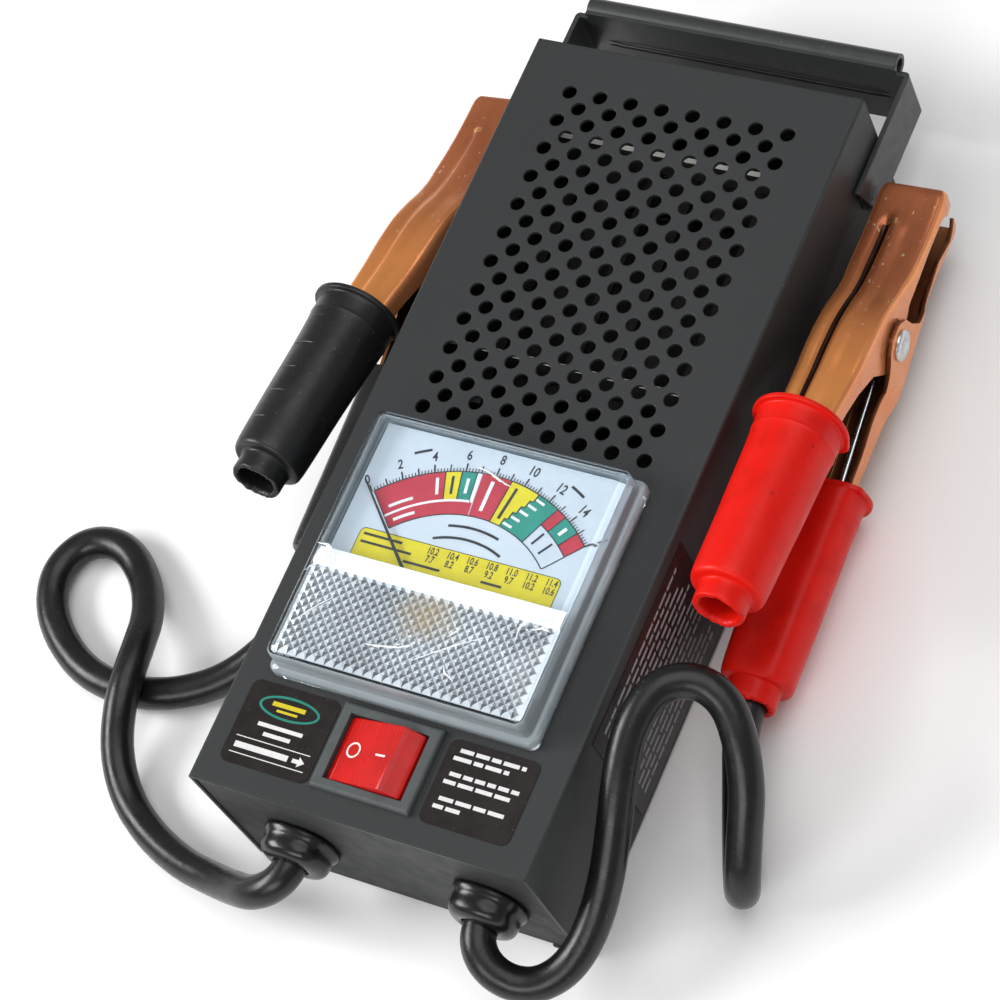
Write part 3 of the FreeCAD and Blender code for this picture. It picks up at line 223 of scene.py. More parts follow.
M["copper_up"] = surface("tarnished_copper_web", [(0.28, 0.078, 0.031), (0.44, 0.137, 0.055), (0.57, 0.195, 0.078)], scale=34, detail=5,
                         metallic=0.6, rough=(0.20, 0.36), rough_scale=90, bump=(1100, 0.00005, 0.5), bump2=(90, 0.0002, 0.25),
                         speck=((0.80, 0.55, 0.38), 900, 0.72, 0.76), stretch=(1.0, 0.45, 1.0))
M["copper_side"] = surface("bright_copper_edge", [(0.76, 0.26, 0.097), (0.88, 0.345, 0.14)], scale=50, metallic=0.6,
                           rough=(0.20, 0.36), rough_scale=140, bump=(1300, 0.00004, 0.5), bump2=(110, 0.00018, 0.25))
# darker copy of the copper for the faces inside the channel: painted shade
M["copper_in"] = surface("dark_copper_inside", [(0.16, 0.060, 0.030), (0.34, 0.140, 0.060)], scale=60, metallic=1.0,
                         rough=(0.35, 0.55), bump=(700, 0.00008, 0.5))
# near-black copper along the pressed groove: painted shade
M["copper_groove"] = surface("groove_painted_shade", [(0.030, 0.014, 0.010), (0.075, 0.032, 0.020)], scale=90, metallic=0.9,
                             rough=(0.22, 0.4), rough_scale=140, bump=(1300, 0.00004, 0.5))
# bright copper beside the groove and round the boss at its end: painted highlight
M["copper_rim"] = surface("rib_edge_painted_highlight", [(0.86, 0.36, 0.13), (0.95, 0.50, 0.22)], scale=120, metallic=0.9, rough=(0.16, 0.3),
                          rough_scale=140, bump=(1300, 0.00004, 0.5))


def warm_toward_grip(m):
    """The plating stays golden near the grips and is browner toward the noses."""
    nt = m.node_tree
    L = nt.links.new
    b = [n for n in nt.nodes if n.type == "BSDF_PRINCIPLED"][0]
    src = b.inputs["Base Color"].links[0].from_socket
    tc = [n for n in nt.nodes if n.type == "TEX_COORD"][0]
    sep = nt.nodes.new("ShaderNodeSeparateXYZ")
    L(tc.outputs["Object"], sep.inputs[0])
    nz = node(nt, "ShaderNodeTexNoise", Scale=45.0, Detail=3.0)
    L(tc.outputs["Object"], nz.inputs["Vector"])
    ma = nt.nodes.new("ShaderNodeMath")
    ma.operation = "MULTIPLY_ADD"
    L(nz.outputs["Fac"], ma.inputs[0])
    ma.inputs[1].default_value = 0.030
    L(sep.outputs["Y"], ma.inputs[2])
    mr = nt.nodes.new("ShaderNodeMapRange")
    mr.inputs["From Min"].default_value, mr.inputs["From Max"].default_value = 0.088, 0.040
    L(ma.outputs[0], mr.inputs["Value"])
    mx = nt.nodes.new("ShaderNodeMixRGB")
    L(mr.outputs[0], mx.inputs["Fac"])
    L(src, mx.inputs["Color1"])
    mx.inputs["Color2"].default_value = (0.86, 0.33, 0.092, 1)
    L(mx.outputs[0], b.inputs["Base Color"])


warm_toward_grip(M["copper_up"])
M["label"] = surface("label_brown_black", [(0.010, 0.007, 0.007), (0.016, 0.011, 0.011)], scale=90, rough=(0.24, 0.34),
                     rough_scale=200, bump=(260, 0.00008, 0.25), specular=0.35, speck=((0.07, 0.06, 0.06), 1400, 0.72, 0.78))
M["ink_white"] = surface("white_print", [(0.60, 0.60, 0.60), (0.70, 0.70, 0.69)], scale=500, rough=(0.35, 0.5), bump=(2500, 0.00003, 0.4))
M["ink_grey"] = surface("grey_print", [(0.24, 0.24, 0.25), (0.34, 0.34, 0.35)], scale=500, rough=(0.35, 0.5), bump=(2500, 0.00003, 0.4))
M["ink_black"] = surface("black_print", [(0.010, 0.012, 0.016), (0.022, 0.024, 0.030)], scale=600, rough=(0.35, 0.5), bump=(2500, 0.00003, 0.4))
M["dial"] = surface("dial_white", [(0.43, 0.47, 0.51), (0.48, 0.52, 0.56)], scale=25, rough=(0.35, 0.5), bump=(1800, 0.00003, 0.4))
M["ink_red"] = surface("crimson_print", [(0.36, 0.014, 0.030), (0.42, 0.020, 0.040)], scale=220, rough=(0.35, 0.5), bump=(2400, 0.00003, 0.4))
M["ink_yellow"] = surface("yellow_print", [(0.53, 0.43, 0.004), (0.60, 0.49, 0.006)], scale=220, rough=(0.35, 0.5), bump=(2400, 0.00003, 0.4))
M["ink_teal"] = surface("teal_print", [(0.004, 0.17, 0.125), (0.008, 0.22, 0.165)], scale=220, rough=(0.35, 0.5), bump=(2400, 0.00003, 0.4))
M["rocker"] = surface("red_translucent_rocker", [(0.44, 0.005, 0.004), (0.60, 0.008, 0.006)], scale=120, rough=(0.26, 0.38),
                      bump=(900, 0.00004, 0.35), specular=0.35)
M["mark"] = surface("pale_switch_mark", [(0.80, 0.62, 0.60), (0.92, 0.78, 0.76)], scale=500, rough=(0.3, 0.45), bump=(2500, 0.00003, 0.4))
M["silver"] = surface("silvered_panel", [(0.62, 0.63, 0.65), (0.90, 0.91, 0.93), (0.78, 0.79, 0.81)], scale=34, detail=3, metallic=0.85,
                      rough=(0.10, 0.26), rough_scale=70, bump=(200, 0.0001, 0.3))
# plain white that stands in for light: a painted reflection on the window band and painted glints on the film folds
M["glare"] = surface("white_painted_reflection", [(0.74, 0.76, 0.78), (0.84, 0.85, 0.86)], scale=60, rough=(0.2, 0.35), bump=(300, 0.00005, 0.3))


def clear(name, tint, rough, bump=None, ior=1.49):
    """Clear plastic that lets lamp light through, with faint clouding of its gloss."""
    m = bpy.data.materials.new(name)
    m.use_nodes = True
    nt = m.node_tree
    L = nt.links.new
    nt.nodes.clear()
    out = nt.nodes.new("ShaderNodeOutputMaterial")
    b = nt.nodes.new("ShaderNodeBsdfPrincipled")
    b.inputs["Transmission Weight"].default_value = 1.0
    b.inputs["IOR"].default_value = ior
    tc = nt.nodes.new("ShaderNodeTexCoord")
    n1 = node(nt, "ShaderNodeTexNoise", Scale=90.0, Detail=4.0)
    L(tc.outputs["Object"], n1.inputs["Vector"])
    rp = nt.nodes.new("ShaderNodeValToRGB")
    rp.color_ramp.elements[0].color = rgba([c * 0.97 for c in tint])
    rp.color_ramp.elements[1].color = rgba(tint)
    L(n1.outputs["Fac"], rp.inputs["Fac"])
    L(rp.outputs[0], b.inputs["Base Color"])
    mr = nt.nodes.new("ShaderNodeMapRange")
    mr.inputs["To Min"].default_value, mr.inputs["To Max"].default_value = rough
    L(n1.outputs["Fac"], mr.inputs["Value"])
    L(mr.outputs[0], b.inputs["Roughness"])
    if bump:
        tx = node(nt, "ShaderNodeTexNoise", Scale=bump[0], Detail=2.0)
        L(tc.outputs["Object"], tx.inputs["Vector"])
        bn = nt.nodes.new("ShaderNodeBump")
        bn.inputs["Distance"].default_value, bn.inputs["Strength"].default_value = bump[1], bump[2]
        L(tx.outputs["Fac"], bn.inputs["Height"])
        L(bn.outputs[0], b.inputs["Normal"])
    tr = nt.nodes.new("ShaderNodeBsdfTransparent")
    tr.inputs[0].default_value = rgba([c * 0.98 for c in tint])
    lp = nt.nodes.new("ShaderNodeLightPath")
    mix = nt.nodes.new("ShaderNodeMixShader")
    L(lp.outputs["Is Shadow Ray"], mix.inputs[0])
    L(b.outputs[0], mix.inputs[1])
    L(tr.outputs[0], mix.inputs[2])
    L(mix.outputs[0], out.inputs[0])
    return m


M["clear"] = clear("clear_window_plastic", (0.90, 0.94, 0.97), (0.015, 0.04), bump=(40, 0.0002, 0.03))
M["rim"] = surface("frosted_window_wall", [(0.50, 0.58, 0.62), (0.62, 0.70, 0.74)], scale=70, rough=(0.10, 0.24), rough_scale=120,
                   bump=(60, 0.0002, 0.15), transmission=0.55, ior=1.45)
M["film"] = clear("thin_clear_film", (0.99, 0.99, 1.0), (0.03, 0.10), ior=1.35)

# ------------------------------------------------------------ mesh helpers


def put(name, verts, faces, mats, body, smooth=True, face_mats=None):
    me = bpy.data.meshes.new(name)
    me.from_pydata([tuple(v) for v in verts], [], faces)
    me.update()
    for mt in (mats if isinstance(mats, (list, tuple)) else [mats]):
        me.materials.append(mt)
    if face_mats:
        me.polygons.foreach_set("material_index", face_mats)
    me.polygons.foreach_set("use_smooth", [smooth] * len(me.polygons))
    ob = bpy.data.objects.new(name, me)
    bpy.context.scene.collection.objects.link(ob)
    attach(ob, body)
    return ob


def from_bm(name, bm, mats, body, smooth=False, auto=None):
    bmesh.ops.recalc_face_normals(bm, faces=bm.faces)
    me = bpy.data.meshes.new(name)
    bm.to_mesh(me)
    bm.free()
    for mt in (mats if isinstance(mats, (list, tuple)) else [mats]):
        me.materials.append(mt)
    me.polygons.foreach_set("use_smooth", [smooth or auto is not None] * len(me.polygons))
    if auto is not None:
        me.set_sharp_from_angle(angle=math.radians(auto))
    ob = bpy.data.objects.new(name, me)
    bpy.context.scene.collection.objects.link(ob)
    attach(ob, body)
    return ob


def grid_faces(rows, cols, closed=True, base=0):
    f = []
    n = cols if closed else cols - 1
    for i in range(rows - 1):
        for j in range(n):
            a, b = base + i * cols + j, base + i * cols + (j + 1) % cols
            f.append((a, b, b + cols, a + cols))
    return f


def interp(table, x):
    """Smooth (monotone-ish) interpolation in a list of (x, value) pairs."""
    t = sorted(table)
    if x <= t[0][0]:
        return t[0][1]
    if x >= t[-1][0]:
        return t[-1][1]
    for i in range(len(t) - 1):
        if t[i][0] <= x <= t[i + 1][0]:
            x0, y0 = t[i]
            x1, y1 = t[i + 1]
            u = (x - x0) / (x1 - x0)
            m0 = (y1 - t[i - 1][1]) / (x1 - t[i - 1][0]) if i > 0 else (y1 - y0) / (x1 - x0)
            m1 = (t[i + 2][1] - y0) / (t[i + 2][0] - x0) if i + 2 < len(t) else (y1 - y0) / (x1 - x0)
            h = x1 - x0
            return ((2 * u ** 3 - 3 * u ** 2 + 1) * y0 + (u ** 3 - 2 * u ** 2 + u) * h * m0
                    + (-2 * u ** 3 + 3 * u ** 2) * y1 + (u ** 3 - u ** 2) * h * m1)


# ------------------------------------------------------------------- cords
ROUTE_RED = [(32.5, -126.0, 28.0), (32.5, -132.4, 28.0), (35.0, -137.7, 26.4), (39.5, -140.8, 23.8), (45.5, -141.3, 20.9), (52.2, -139.1, 20.3),
             (58.5, -132.8, 22.0), (62.2, -122.9, 26.3), (63.4, -111.4, 32.5), (63.1, -100.1, 39.8), (62.1, -88.6, 47.4), (61.3, -75.3, 53.9),
             (64.7, -62.3, 56.8), (73.6, -56.8, 55.2), (82.7, -59.0, 51.3), (88.7, -67.0, 46.1), (92.6, -76.9, 38.7), (93.5, -86.7, 30.7),
             (94.3, -95.6, 22.0), (92.2, -96.9, 12.3), (87.6, -91.3, 5.3), (82.6, -79.8, 5.3), (78.2, -66.4, 9.2), (74.1, -53.6, 13.6), (73.45, -44.2, 13.54)]
ROUTE_BLACK = [(-26.8, -126.0, 28.0), (-26.8, -132.7, 28.0), (-30.3, -138.2, 26.6), (-37.1, -140.6, 23.0), (-45.2, -139.6, 17.8), (-55.6, -137.8, 12.7),
               (-69.3, -135.4, 8.6), (-84.3, -129.8, 5.9), (-97.3, -121.5, 5.6), (-105.4, -109.7, 9.9), (-108.1, -95.1, 15.8), (-110.5, -80.2, 14.9),
               (-115.9, -66.7, 9.0), (-125.0, -54.8, 5.3), (-137.0, -46.6, 5.3), (-149.3, -48.8, 5.3), (-155.0, -59.9, 5.3), (-151.3, -71.8, 5.3),
               (-142.0, -81.4, 5.3), (-128.9, -88.8, 5.3), (-113.4, -90.8, 5.3), (-98.0, -87.3, 5.3), (-84.0, -78.6, 5.4), (-73.2, -65.8, 9.0),
               (-67.2, -52.5, 13.55), (-66.82, -42.4, 13.77)]


def lead(name, route, node_name):
    cu = bpy.data.curves.new(name, "CURVE")
    cu.dimensions = "3D"
    sp = cu.splines.new("NURBS")
    sp.points.add(len(route) - 1)
    for pt, co in zip(sp.points, route):
        pt.co = (*P(*co), 1.0)
    sp.order_u = 3
    sp.use_endpoint_u = True
    cu.resolution_u = 14
    cu.bevel_depth = 0.0049
    cu.bevel_resolution = 9
    cu.use_fill_caps = True
    cu.materials.append(M["cord"])
    ob = bpy.data.objects.new(name, cu)
    bpy.context.scene.collection.objects.link(ob)
    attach(ob, "case")
    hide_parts(node_name)
    return ob


lead_red = lead("lead_red", ROUTE_RED, "cord_red")
lead_black = lead("lead_black", ROUTE_BLACK, "cord_black")

# ------------------------------------------------------------------- clamps
TOP_UP = [(49, 7.8), (40, 7.2), (30, 7.1), (19, 8.0), (10, 10.0), (3, 12.6), (-4, 14.6), (-13, 15.7), (-22, 16.4), (-32, 17.8), (-42, 19.0),
          (-60, 20.6), (-88, 22.4)]
TOP_LO = [(49, 12.0), (40, 11.4), (25, 11.0), (12, 11.6), (5, 13.0), (-5, 15.4), (-17, 16.6), (-30, 18.4), (-60, 20.6), (-88, 22.4)]
UNDER_UP = [(-88, 18.0), (-60, 15.2), (-45, 13.4), (-32, 11.6), (-24, 9.6), (-15, 5.4), (-9.5, -1.5), (-6.5, -5.6), (-2.5, -7.4),
            (2.5, -7.4), (6.5, -5.4), (9.5, -2.2), (13, 0.6), (19, 2.6), (30, 3.6), (41, 3.4), (43.6, 2.2), (45, 0.8), (49, 0.6)]
UNDER_LO = [(-88, 18.0), (-60, 15.2), (-45, 13.4), (-32, 11.0), (-22, 7.4), (-13, 5.2), (-8.5, 0.5), (-6.0, -3.8), (-3.0, -6.4),
            (2.6, -6.6), (6.5, -3.4), (9.0, 2.0), (13, 7.4), (19, 8.8), (27, 8.0), (34, 6.6), (43, 8.6), (49, 5.6)]
WIDE_UP = [(49.5, 10.2), (20, 10.2), (13, 9.6), (-14, 9.6), (-30, 8.9), (-45, 8.1), (-89, 6.0)]
WIDE_LO = [(49.5, 10.2), (22, 10.2), (15, 11.25), (-9, 11.25), (-17, 9.8), (-30, 8.9), (-45, 8.1), (-89, 6.0)]
CT = 1.2


def lin(t, x):
    t = sorted(t)
    if x <= t[0][0]:
        return t[0][1]
    for i in range(len(t) - 1):
        if x <= t[i + 1][0]:
            u = (x - t[i][0]) / (t[i + 1][0] - t[i][0])
            return t[i][1] + (t[i + 1][1] - t[i][1]) * u
    return t[-1][1]


def clamp_matrix(pos, yaw, tilt, roll):
    return (Matrix.Translation(P(*pos)) @ Matrix.Rotation(math.radians(yaw), 4, "Z") @ Matrix.Rotation(math.radians(-tilt), 4, "X")
            @ Matrix.Rotation(math.radians(roll), 4, "Y") @ Matrix.Scale(0.001, 4))


def jaw(name, top, under, wide, mirror, mat4, body, seed):
    """A pressed channel: one sheet bent round two long corners, with a raised rib along its web."""
    st = [-88 + 1.0 * i for i in range(0, 138)]            # stations every millimetre
    st = [s for s in st if s <= 49] + [49.0]
    st = sorted(set(st + [-9.5, -6.5, -2.5, 2.5, 6.5, 9.5, 43.6, 44.3, 45.0]))
    rb = 2.3                                               # outer bend radius
    ncorner, nweb, nfl = 6, 26, 9
    verts, cols = [], None
    rnd = random.Random(seed)
    for s in st:
        t_ = interp(top, s)
        w = interp(wide, s)
        u_ = lin(under, s)
        depth = max(t_ - u_, rb + 0.25)
        row = []
        for side in (-1, 1):
            seg = []
            for i in range(nfl):
                k = i / (nfl - 1)
                seg.append((side * w, t_ - depth + (depth - rb) * k))
            for i in range(1, ncorner + 1):
                a = math.pi / 2 * i / ncorner
                seg.append((side * (w - rb + rb * math.cos(a)), t_ - rb + rb * math.sin(a)))
            if side < 0:
                row += seg
                for i in range(1, nweb):
                    x = -(w - rb) + 2 * (w - rb) * i / nweb
                    # rib: rises from a round end near the nose and runs under the grip
                    end = 1.0 / (1.0 + math.exp((s - 36.0) * 1.3))
                    half = 3.3
                    f = max(0.0, 1.0 - (abs(x + 0.3) / half) ** 2)
                    z = t_ + 0.75 * end * f ** 1.3 * (0.35 + 0.65 * min(1, (s + 95) / 60.0))
                    # pressed groove along the left side of the rib, with a round boss at its end
                    xn = x / (w - rb)
                    z -= (0.5 if name.startswith("black") else 1.45) * end * math.exp(-((xn + 0.50) / 0.17) ** 2)
                    z += 0.55 * math.exp(-(((s - 36.2) / 1.7) ** 2 + ((xn + 0.24) / 0.26) ** 2))
                    row.append((x, z))
            else:
                row += list(reversed(seg))
        # tip turned down over the last few millimetres
        drop = max(0.0, s - 46.5)
        for x, z in row:
            dz = -0.10 * drop * drop if z > t_ - depth * 0.6 else 0.0
            verts.append(Vector((x, s, z + dz)))
        cols = len(row)
    faces = grid_faces(len(st), cols, closed=False)
    if mirror:
        verts = [Vector((v.x, v.y, -v.z)) for v in verts]
        faces = [tuple(reversed(f)) for f in faces]
    # the nose corners are clipped round
    for v in verts:
        if v.y > 44.5:
            k = (v.y - 44.5) / 4.5
            if abs(v.x) > 6:
                v.x *= 1 - 0.05 * k * k
    verts_local = [v.copy() for v in verts]
    verts = [mat4 @ v for v in verts]
    ob = put(name, verts, faces, [M["copper_up"], M["copper_side"], M["copper_in"], M["copper_groove"], M["copper_rim"]], body)
    me = ob.data
    # outside flanges are brighter than the web
    n_in = nfl
    for f in me.polygons:
        j = f.index % (cols - 1)
        if j < nfl + ncorner - 3 or j >= cols - 1 - (nfl + ncorner - 3):
            f.material_index = 1
        else:
            i_ = j - (nfl + ncorner) + 1
            s_ = sum((verts_local[k].y for k in f.vertices), 0.0) / len(f.vertices)
            # faces along the groove get painted shade; the faces right of the groove and round the boss at its end get
            # a painted highlight
            if 5 <= i_ <= 8 and s_ < 34.6 and not name.startswith("black"):
                f.material_index = 3
            elif (i_ == 9 and s_ < 35.5 and not name.startswith("black")) or (35.0 <= s_ < 37.4 and 7 <= i_ <= 11):
                f.material_index = 4
    so = ob.modifiers.new("thickness", "SOLIDIFY")
    so.thickness = CT / 1000.0
    so.offset = -1.0
    so.use_even_offset = True
    # the inner faces of the channel take the darker copper as painted shade
    so.material_offset = 2
    so.material_offset_rim = 1
    so.use_rim = True
    bv = ob.modifiers.new("edge", "BEVEL")
    bv.width = 0.00022
    bv.segments = 2
    bv.limit_method = "ANGLE"
    bv.angle_limit = math.radians(55)
    bv.harden_normals = False
    return ob


def sleeve_mesh(name, mirror, mat4, body, mat, seed, colour):
    """Dipped vinyl grip: collar with a nib, slight taper, flats between the pair, rounded shoulder and a short ragged spout."""
    c0 = Vector((0, -41.0, 16.9))
    c1 = Vector((0, -102.0, 22.8)) if mirror else Vector((0, -98.0, 20.6))
    d = (c1 - c0)
    ln = d.length
    d.normalize()
    nrm = Vector((0, -d.z, d.y))
    if nrm.z > 0:
        nrm = -nrm
    side = Vector((1, 0, 0))
    rnd = random.Random(seed)
    # (distance along, radius, flat limit towards the other grip)
    prof = [(-0.2, 12.6, 8.6), (-0.15, 13.5, 8.6), (0.0, 13.85, 8.6), (0.15, 13.9, 8.6), (1.15, 13.9, 8.6), (1.3, 13.8, 8.6), (1.4, 13.5, 8.6), (1.45, 12.7, 8.8), (1.6, 12.35, 9.0),
            (2.4, 12.2, 9.15), (6.9, 12.05, 9.2), (7.05, 12.2, 9.2), (7.4, 12.2, 9.2), (7.6, 11.98, 9.2)]
    n = 11
    for i in range(n):
        a = 8.4 + (ln - 4.0 - 8.4) * (i + 1) / n
        prof.append((a, 12.0 - 1.35 * (a / ln) ** 1.1, 9.2))
    prof += [(ln - 2.4, 10.6, 9.2), (ln - 1.3, 10.5, 9.1), (ln - 0.6, 10.1, 9.0), (ln - 0.25, 9.5, 8.8), (ln - 0.1, 8.4, 8.7), (ln + 0.0, 7.75, 8.5),
             (ln + 0.35, 7.5, 8.5), (ln + 2.4, 7.45, 8.5), (ln + 4.4, 7.5, 8.5), (ln + 5.5, 7.45, 8.5)]
    bore = 4.95 if mirror else 5.3
    cols = 72
    verts, faces = [], []
    ragged = [rnd.uniform(-0.5, 0.35) + 0.35 * math.sin(3 * j * 2 * math.pi / cols + seed) for j in range(cols)]

    def ring(a, r, flat, rag=0.0):
        for j in range(cols):
            th = 2 * math.pi * j / cols
            q = r * math.sin(th)
            pz = r * math.cos(th)
            lim = flat
            if pz > lim - 1.6:
                pz = lim - 1.6 + 1.9 * (1 - math.exp(-(pz - lim + 1.6) / 1.9))
            # collar nib on the outer side
            if a < 1.5 and r > 13 and abs(math.degrees(th) - (300 if colour == "black" else 62)) < 9:
                k = math.cos((math.degrees(th) - (300 if colour == "black" else 62)) / 9 * math.pi / 2)
                q *= 1 + 0.045 * k
                pz *= 1 + 0.045 * k
            # soft hand-dipped waviness
            wv = noise.noise(Vector((q * 0.10, a * 0.045, pz * 0.10 + seed * 3.1))) * 0.28
            s_ = 1 + wv / max(r, 1)
            p = c0 + d * (a + ragged[j] * rag) + side * (q * s_) + nrm * (pz * s_)
            verts.append(p)

    for a, r, fl in prof:
        ring(a, r, fl)
    ring(ln + 6.0, 7.2, 8.5, 0.8)
    ring(ln + 6.05, bore + 0.55, 8.5, 0.7)
    ring(ln + 5.4, bore + 0.10, 8.5, 0.3)
    ring(ln - 0.5, bore + 0.05, 8.5)
    ring(ln - 1.4, bore + 0.05, 8.5)
    ring(ln - 1.5, 8.6, 8.0)
    ring(ln - 6.0, 8.9, 8.0)
    ring(6.0, 10.5, 7.9)
    ring(-0.2, 10.9, 7.6)
    rows = len(verts) // cols
    faces = grid_faces(rows, cols, closed=True)
    # close the collar face back to the first ring
    for j in range(cols):
        a, b = (rows - 1) * cols + j, (rows - 1) * cols + (j + 1) % cols
        faces.append((a, b, (j + 1) % cols, j))
    if mirror:
        verts = [Vector((v.x, v.y, -v.z)) for v in verts]
    verts = [mat4 @ v for v in verts]
    ob = put(name, verts, faces, mat, body)
    bm = bmesh.new()
    bm.from_mesh(ob.data)
    bmesh.ops.recalc_face_normals(bm, faces=bm.faces)
    bm.to_mesh(ob.data)
    bm.free()
    sb = ob.modifiers.new("smooth", "SUBSURF")
    sb.levels = sb.render_levels = 1
    return ob


def helix(name, w0, w1, mirror, mat4, body, start_leg, seed=0):
    """Half of the torsion spring: turns of wire round the rivet and one leg that runs back under the grip."""
    cu = bpy.data.curves.new(name, "CURVE")
    cu.dimensions = "3D"
    sp = cu.splines.new("NURBS")
    pts = []
    r = 4.75
    turns = 3.0
    n = int(turns * 16)
    a_end = math.radians(250)
    for i in range(n + 1):
        a = a_end - 2 * math.pi * turns * (1 - i / n)
        w = w0 + (w1 - w0) * i / n
        pts.append((w, r * math.cos(a), r * math.sin(a)))
    for k, (y, z) in enumerate([(-6, -6.2), (-14, -8.0), (-28, -11.0), (-42, -14.0), (-50, -15.6)]):
        pts.append((w1, y, z))
    if mirror:
        pts = [(x, y, -z) for x, y, z in pts]
    sp.points.add(len(pts) - 1)
    for pt, c in zip(sp.points, pts):
        pt.co = (*(mat4 @ Vector(c)), 1)
    sp.order_u = 3
    sp.use_endpoint_u = True
    cu.bevel_depth = 0.00088
    cu.bevel_resolution = 4
    cu.resolution_u = 4
    cu.use_fill_caps = True
    cu.materials.append(M["spring"])
    ob = bpy.data.objects.new(name, cu)
    bpy.context.scene.collection.objects.link(ob)
    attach(ob, body)
    return ob


def lathe(name, prof, mat4, axis, mat, body, cols=40, wobble=0.0, seed=0):
    """Turned piece: prof is a list of (along, radius); closed at both ends."""
    verts, faces = [], []
    for k, (a, r) in enumerate(prof):
        for j in range(cols):
            th = 2 * math.pi * j / cols
            rr = r * (1 + wobble * noise.noise(Vector((math.cos(th) * 2, math.sin(th) * 2, k + seed))))
            c, s_ = rr * math.cos(th), rr * math.sin(th)
            v = {"X": Vector((a, c, s_)), "Y": Vector((s_, a, c)), "Z": Vector((c, s_, a))}[axis]
            verts.append(mat4 @ v)
    faces = grid_faces(len(prof), cols)
    faces.append(tuple(reversed(range(cols))))
    faces.append(tuple(range((len(prof) - 1) * cols, len(prof) * cols)))
    ob = put(name, verts, faces, mat, body)
    bm = bmesh.new()
    bm.from_mesh(ob.data)
    bmesh.ops.recalc_face_normals(bm, faces=bm.faces)
    bm.to_mesh(ob.data)
    bm.free()
    ob.data.set_sharp_from_angle(angle=math.radians(40))
    return ob


def clamp(colour, pos, yaw, tilt, roll, vinyl, seed):
    m = clamp_matrix(pos, yaw, tilt, roll)
    jb = colour + "_jaw"
    parts = []
    up = jaw(colour + "_jaw_upper", TOP_UP, UNDER_UP, WIDE_UP, False, m, jb, seed)
    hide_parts(colour + "_upper_jaw")
    lo = jaw(colour + "_jaw_lower", TOP_LO, UNDER_LO, WIDE_LO, True, m, "case", seed + 1)
    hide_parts(colour + "_lower_jaw")
    su = sleeve_mesh(colour + "_grip_upper", False, m, jb, vinyl, seed + 2, colour)
    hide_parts(colour + "_upper_sleeve")
    sl = sleeve_mesh(colour + "_grip_lower", True, m, "case", vinyl, seed + 3, colour)
    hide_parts(colour + "_lower_sleeve")
    hf = helix(colour + "_spring_half_fixed", 0.9, 5.1, False, m, "case", 0)
    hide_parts(colour + "_spring_fixed")
    hm = helix(colour + "_spring_half_moving", -0.9, -5.1, True, m, jb, 0)
    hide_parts(colour + "_spring_moving")
    prof = [(-12.75, 1.6), (-12.8, 2.4), (-12.85, 3.3), (-12.6, 4.2), (-12.1, 4.6), (-11.6, 4.6), (-11.35, 4.45), (-11.3, 2.5),
            (11.3, 2.5), (11.35, 4.45), (11.6, 4.6), (12.1, 4.6), (12.6, 4.2), (12.85, 3.3), (12.8, 2.4), (12.3, 1.8), (12.2, 0.6)]
    rv = lathe(colour + "_rivet_pin", prof, m, "X", M["zinc"], "case", cols=48, wobble=0.02, seed=seed)
    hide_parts(colour + "_rivet")
    return [su, sl, hf, hm, rv], [up, lo]


def grip_lines(colour, m, mat):
    """Five short moulding lines across the top of the upper grip."""
    c0, c1 = Vector((0, -41.0, 16.9)), Vector((0, -98.0, 20.6))
    d = (c1 - c0).normalized()
    nrm = Vector((0, d.z, -d.y))
    rnd = random.Random(9)
    for k, (a, w) in enumerate(((10.5, 54), (20.5, 44), (29.5, 40), (38.0, 32), (47.5, 34))):
        r = 12.02 - 1.35 * (a / 57.0) ** 1.1 + 0.02
        vs, fs = [], []
        n = 16
        off = -14 + rnd.uniform(-5, 5)
        for i in range(n + 1):
            t = math.radians(off - w / 2 + w * i / n)
            e = 0.10 * math.sin(math.pi * i / n)
            for da, dr in ((-0.22, -0.10), (0.0, 0.02 + e), (0.22, -0.10)):
                vs.append(m @ (c0 + d * (a + da) + Vector((1, 0, 0)) * ((r + dr) * math.sin(t)) + nrm * ((r + dr) * math.cos(t))))
        for i in range(n):
            for q in range(2):
                fs.append((i * 3 + q, i * 3 + q + 1, i * 3 + q + 4, i * 3 + q + 3))
        ob = put("%s_grip_line_%d" % (colour, k + 1), vs, fs, mat, colour + "_jaw")
        so = ob.modifiers.new("thickness", "SOLIDIFY")
        so.thickness = 0.0002


M["grip_line"] = surface("worn_black_line", [(0.03, 0.03, 0.032), (0.10, 0.10, 0.10)], scale=300, rough=(0.3, 0.45), bump=(1500, 0.00004, 0.4))
grip_lines("black", clamp_matrix((-69.14, 65.6, 27.6), -0.49, 4.9, -8.0), M["grip_line"])
red_on, red_jaws = clamp("red", (68.5, 63.7, 27.6), 2.6, 4.9, 0.0, M["red_vinyl"], 11)
black_on, black_jaws = clamp("black", (-69.14, 65.6, 27.6), -0.49, 4.9, -8.0, M["black_vinyl"], 23)

# ------------------------------------------------------------------- glands


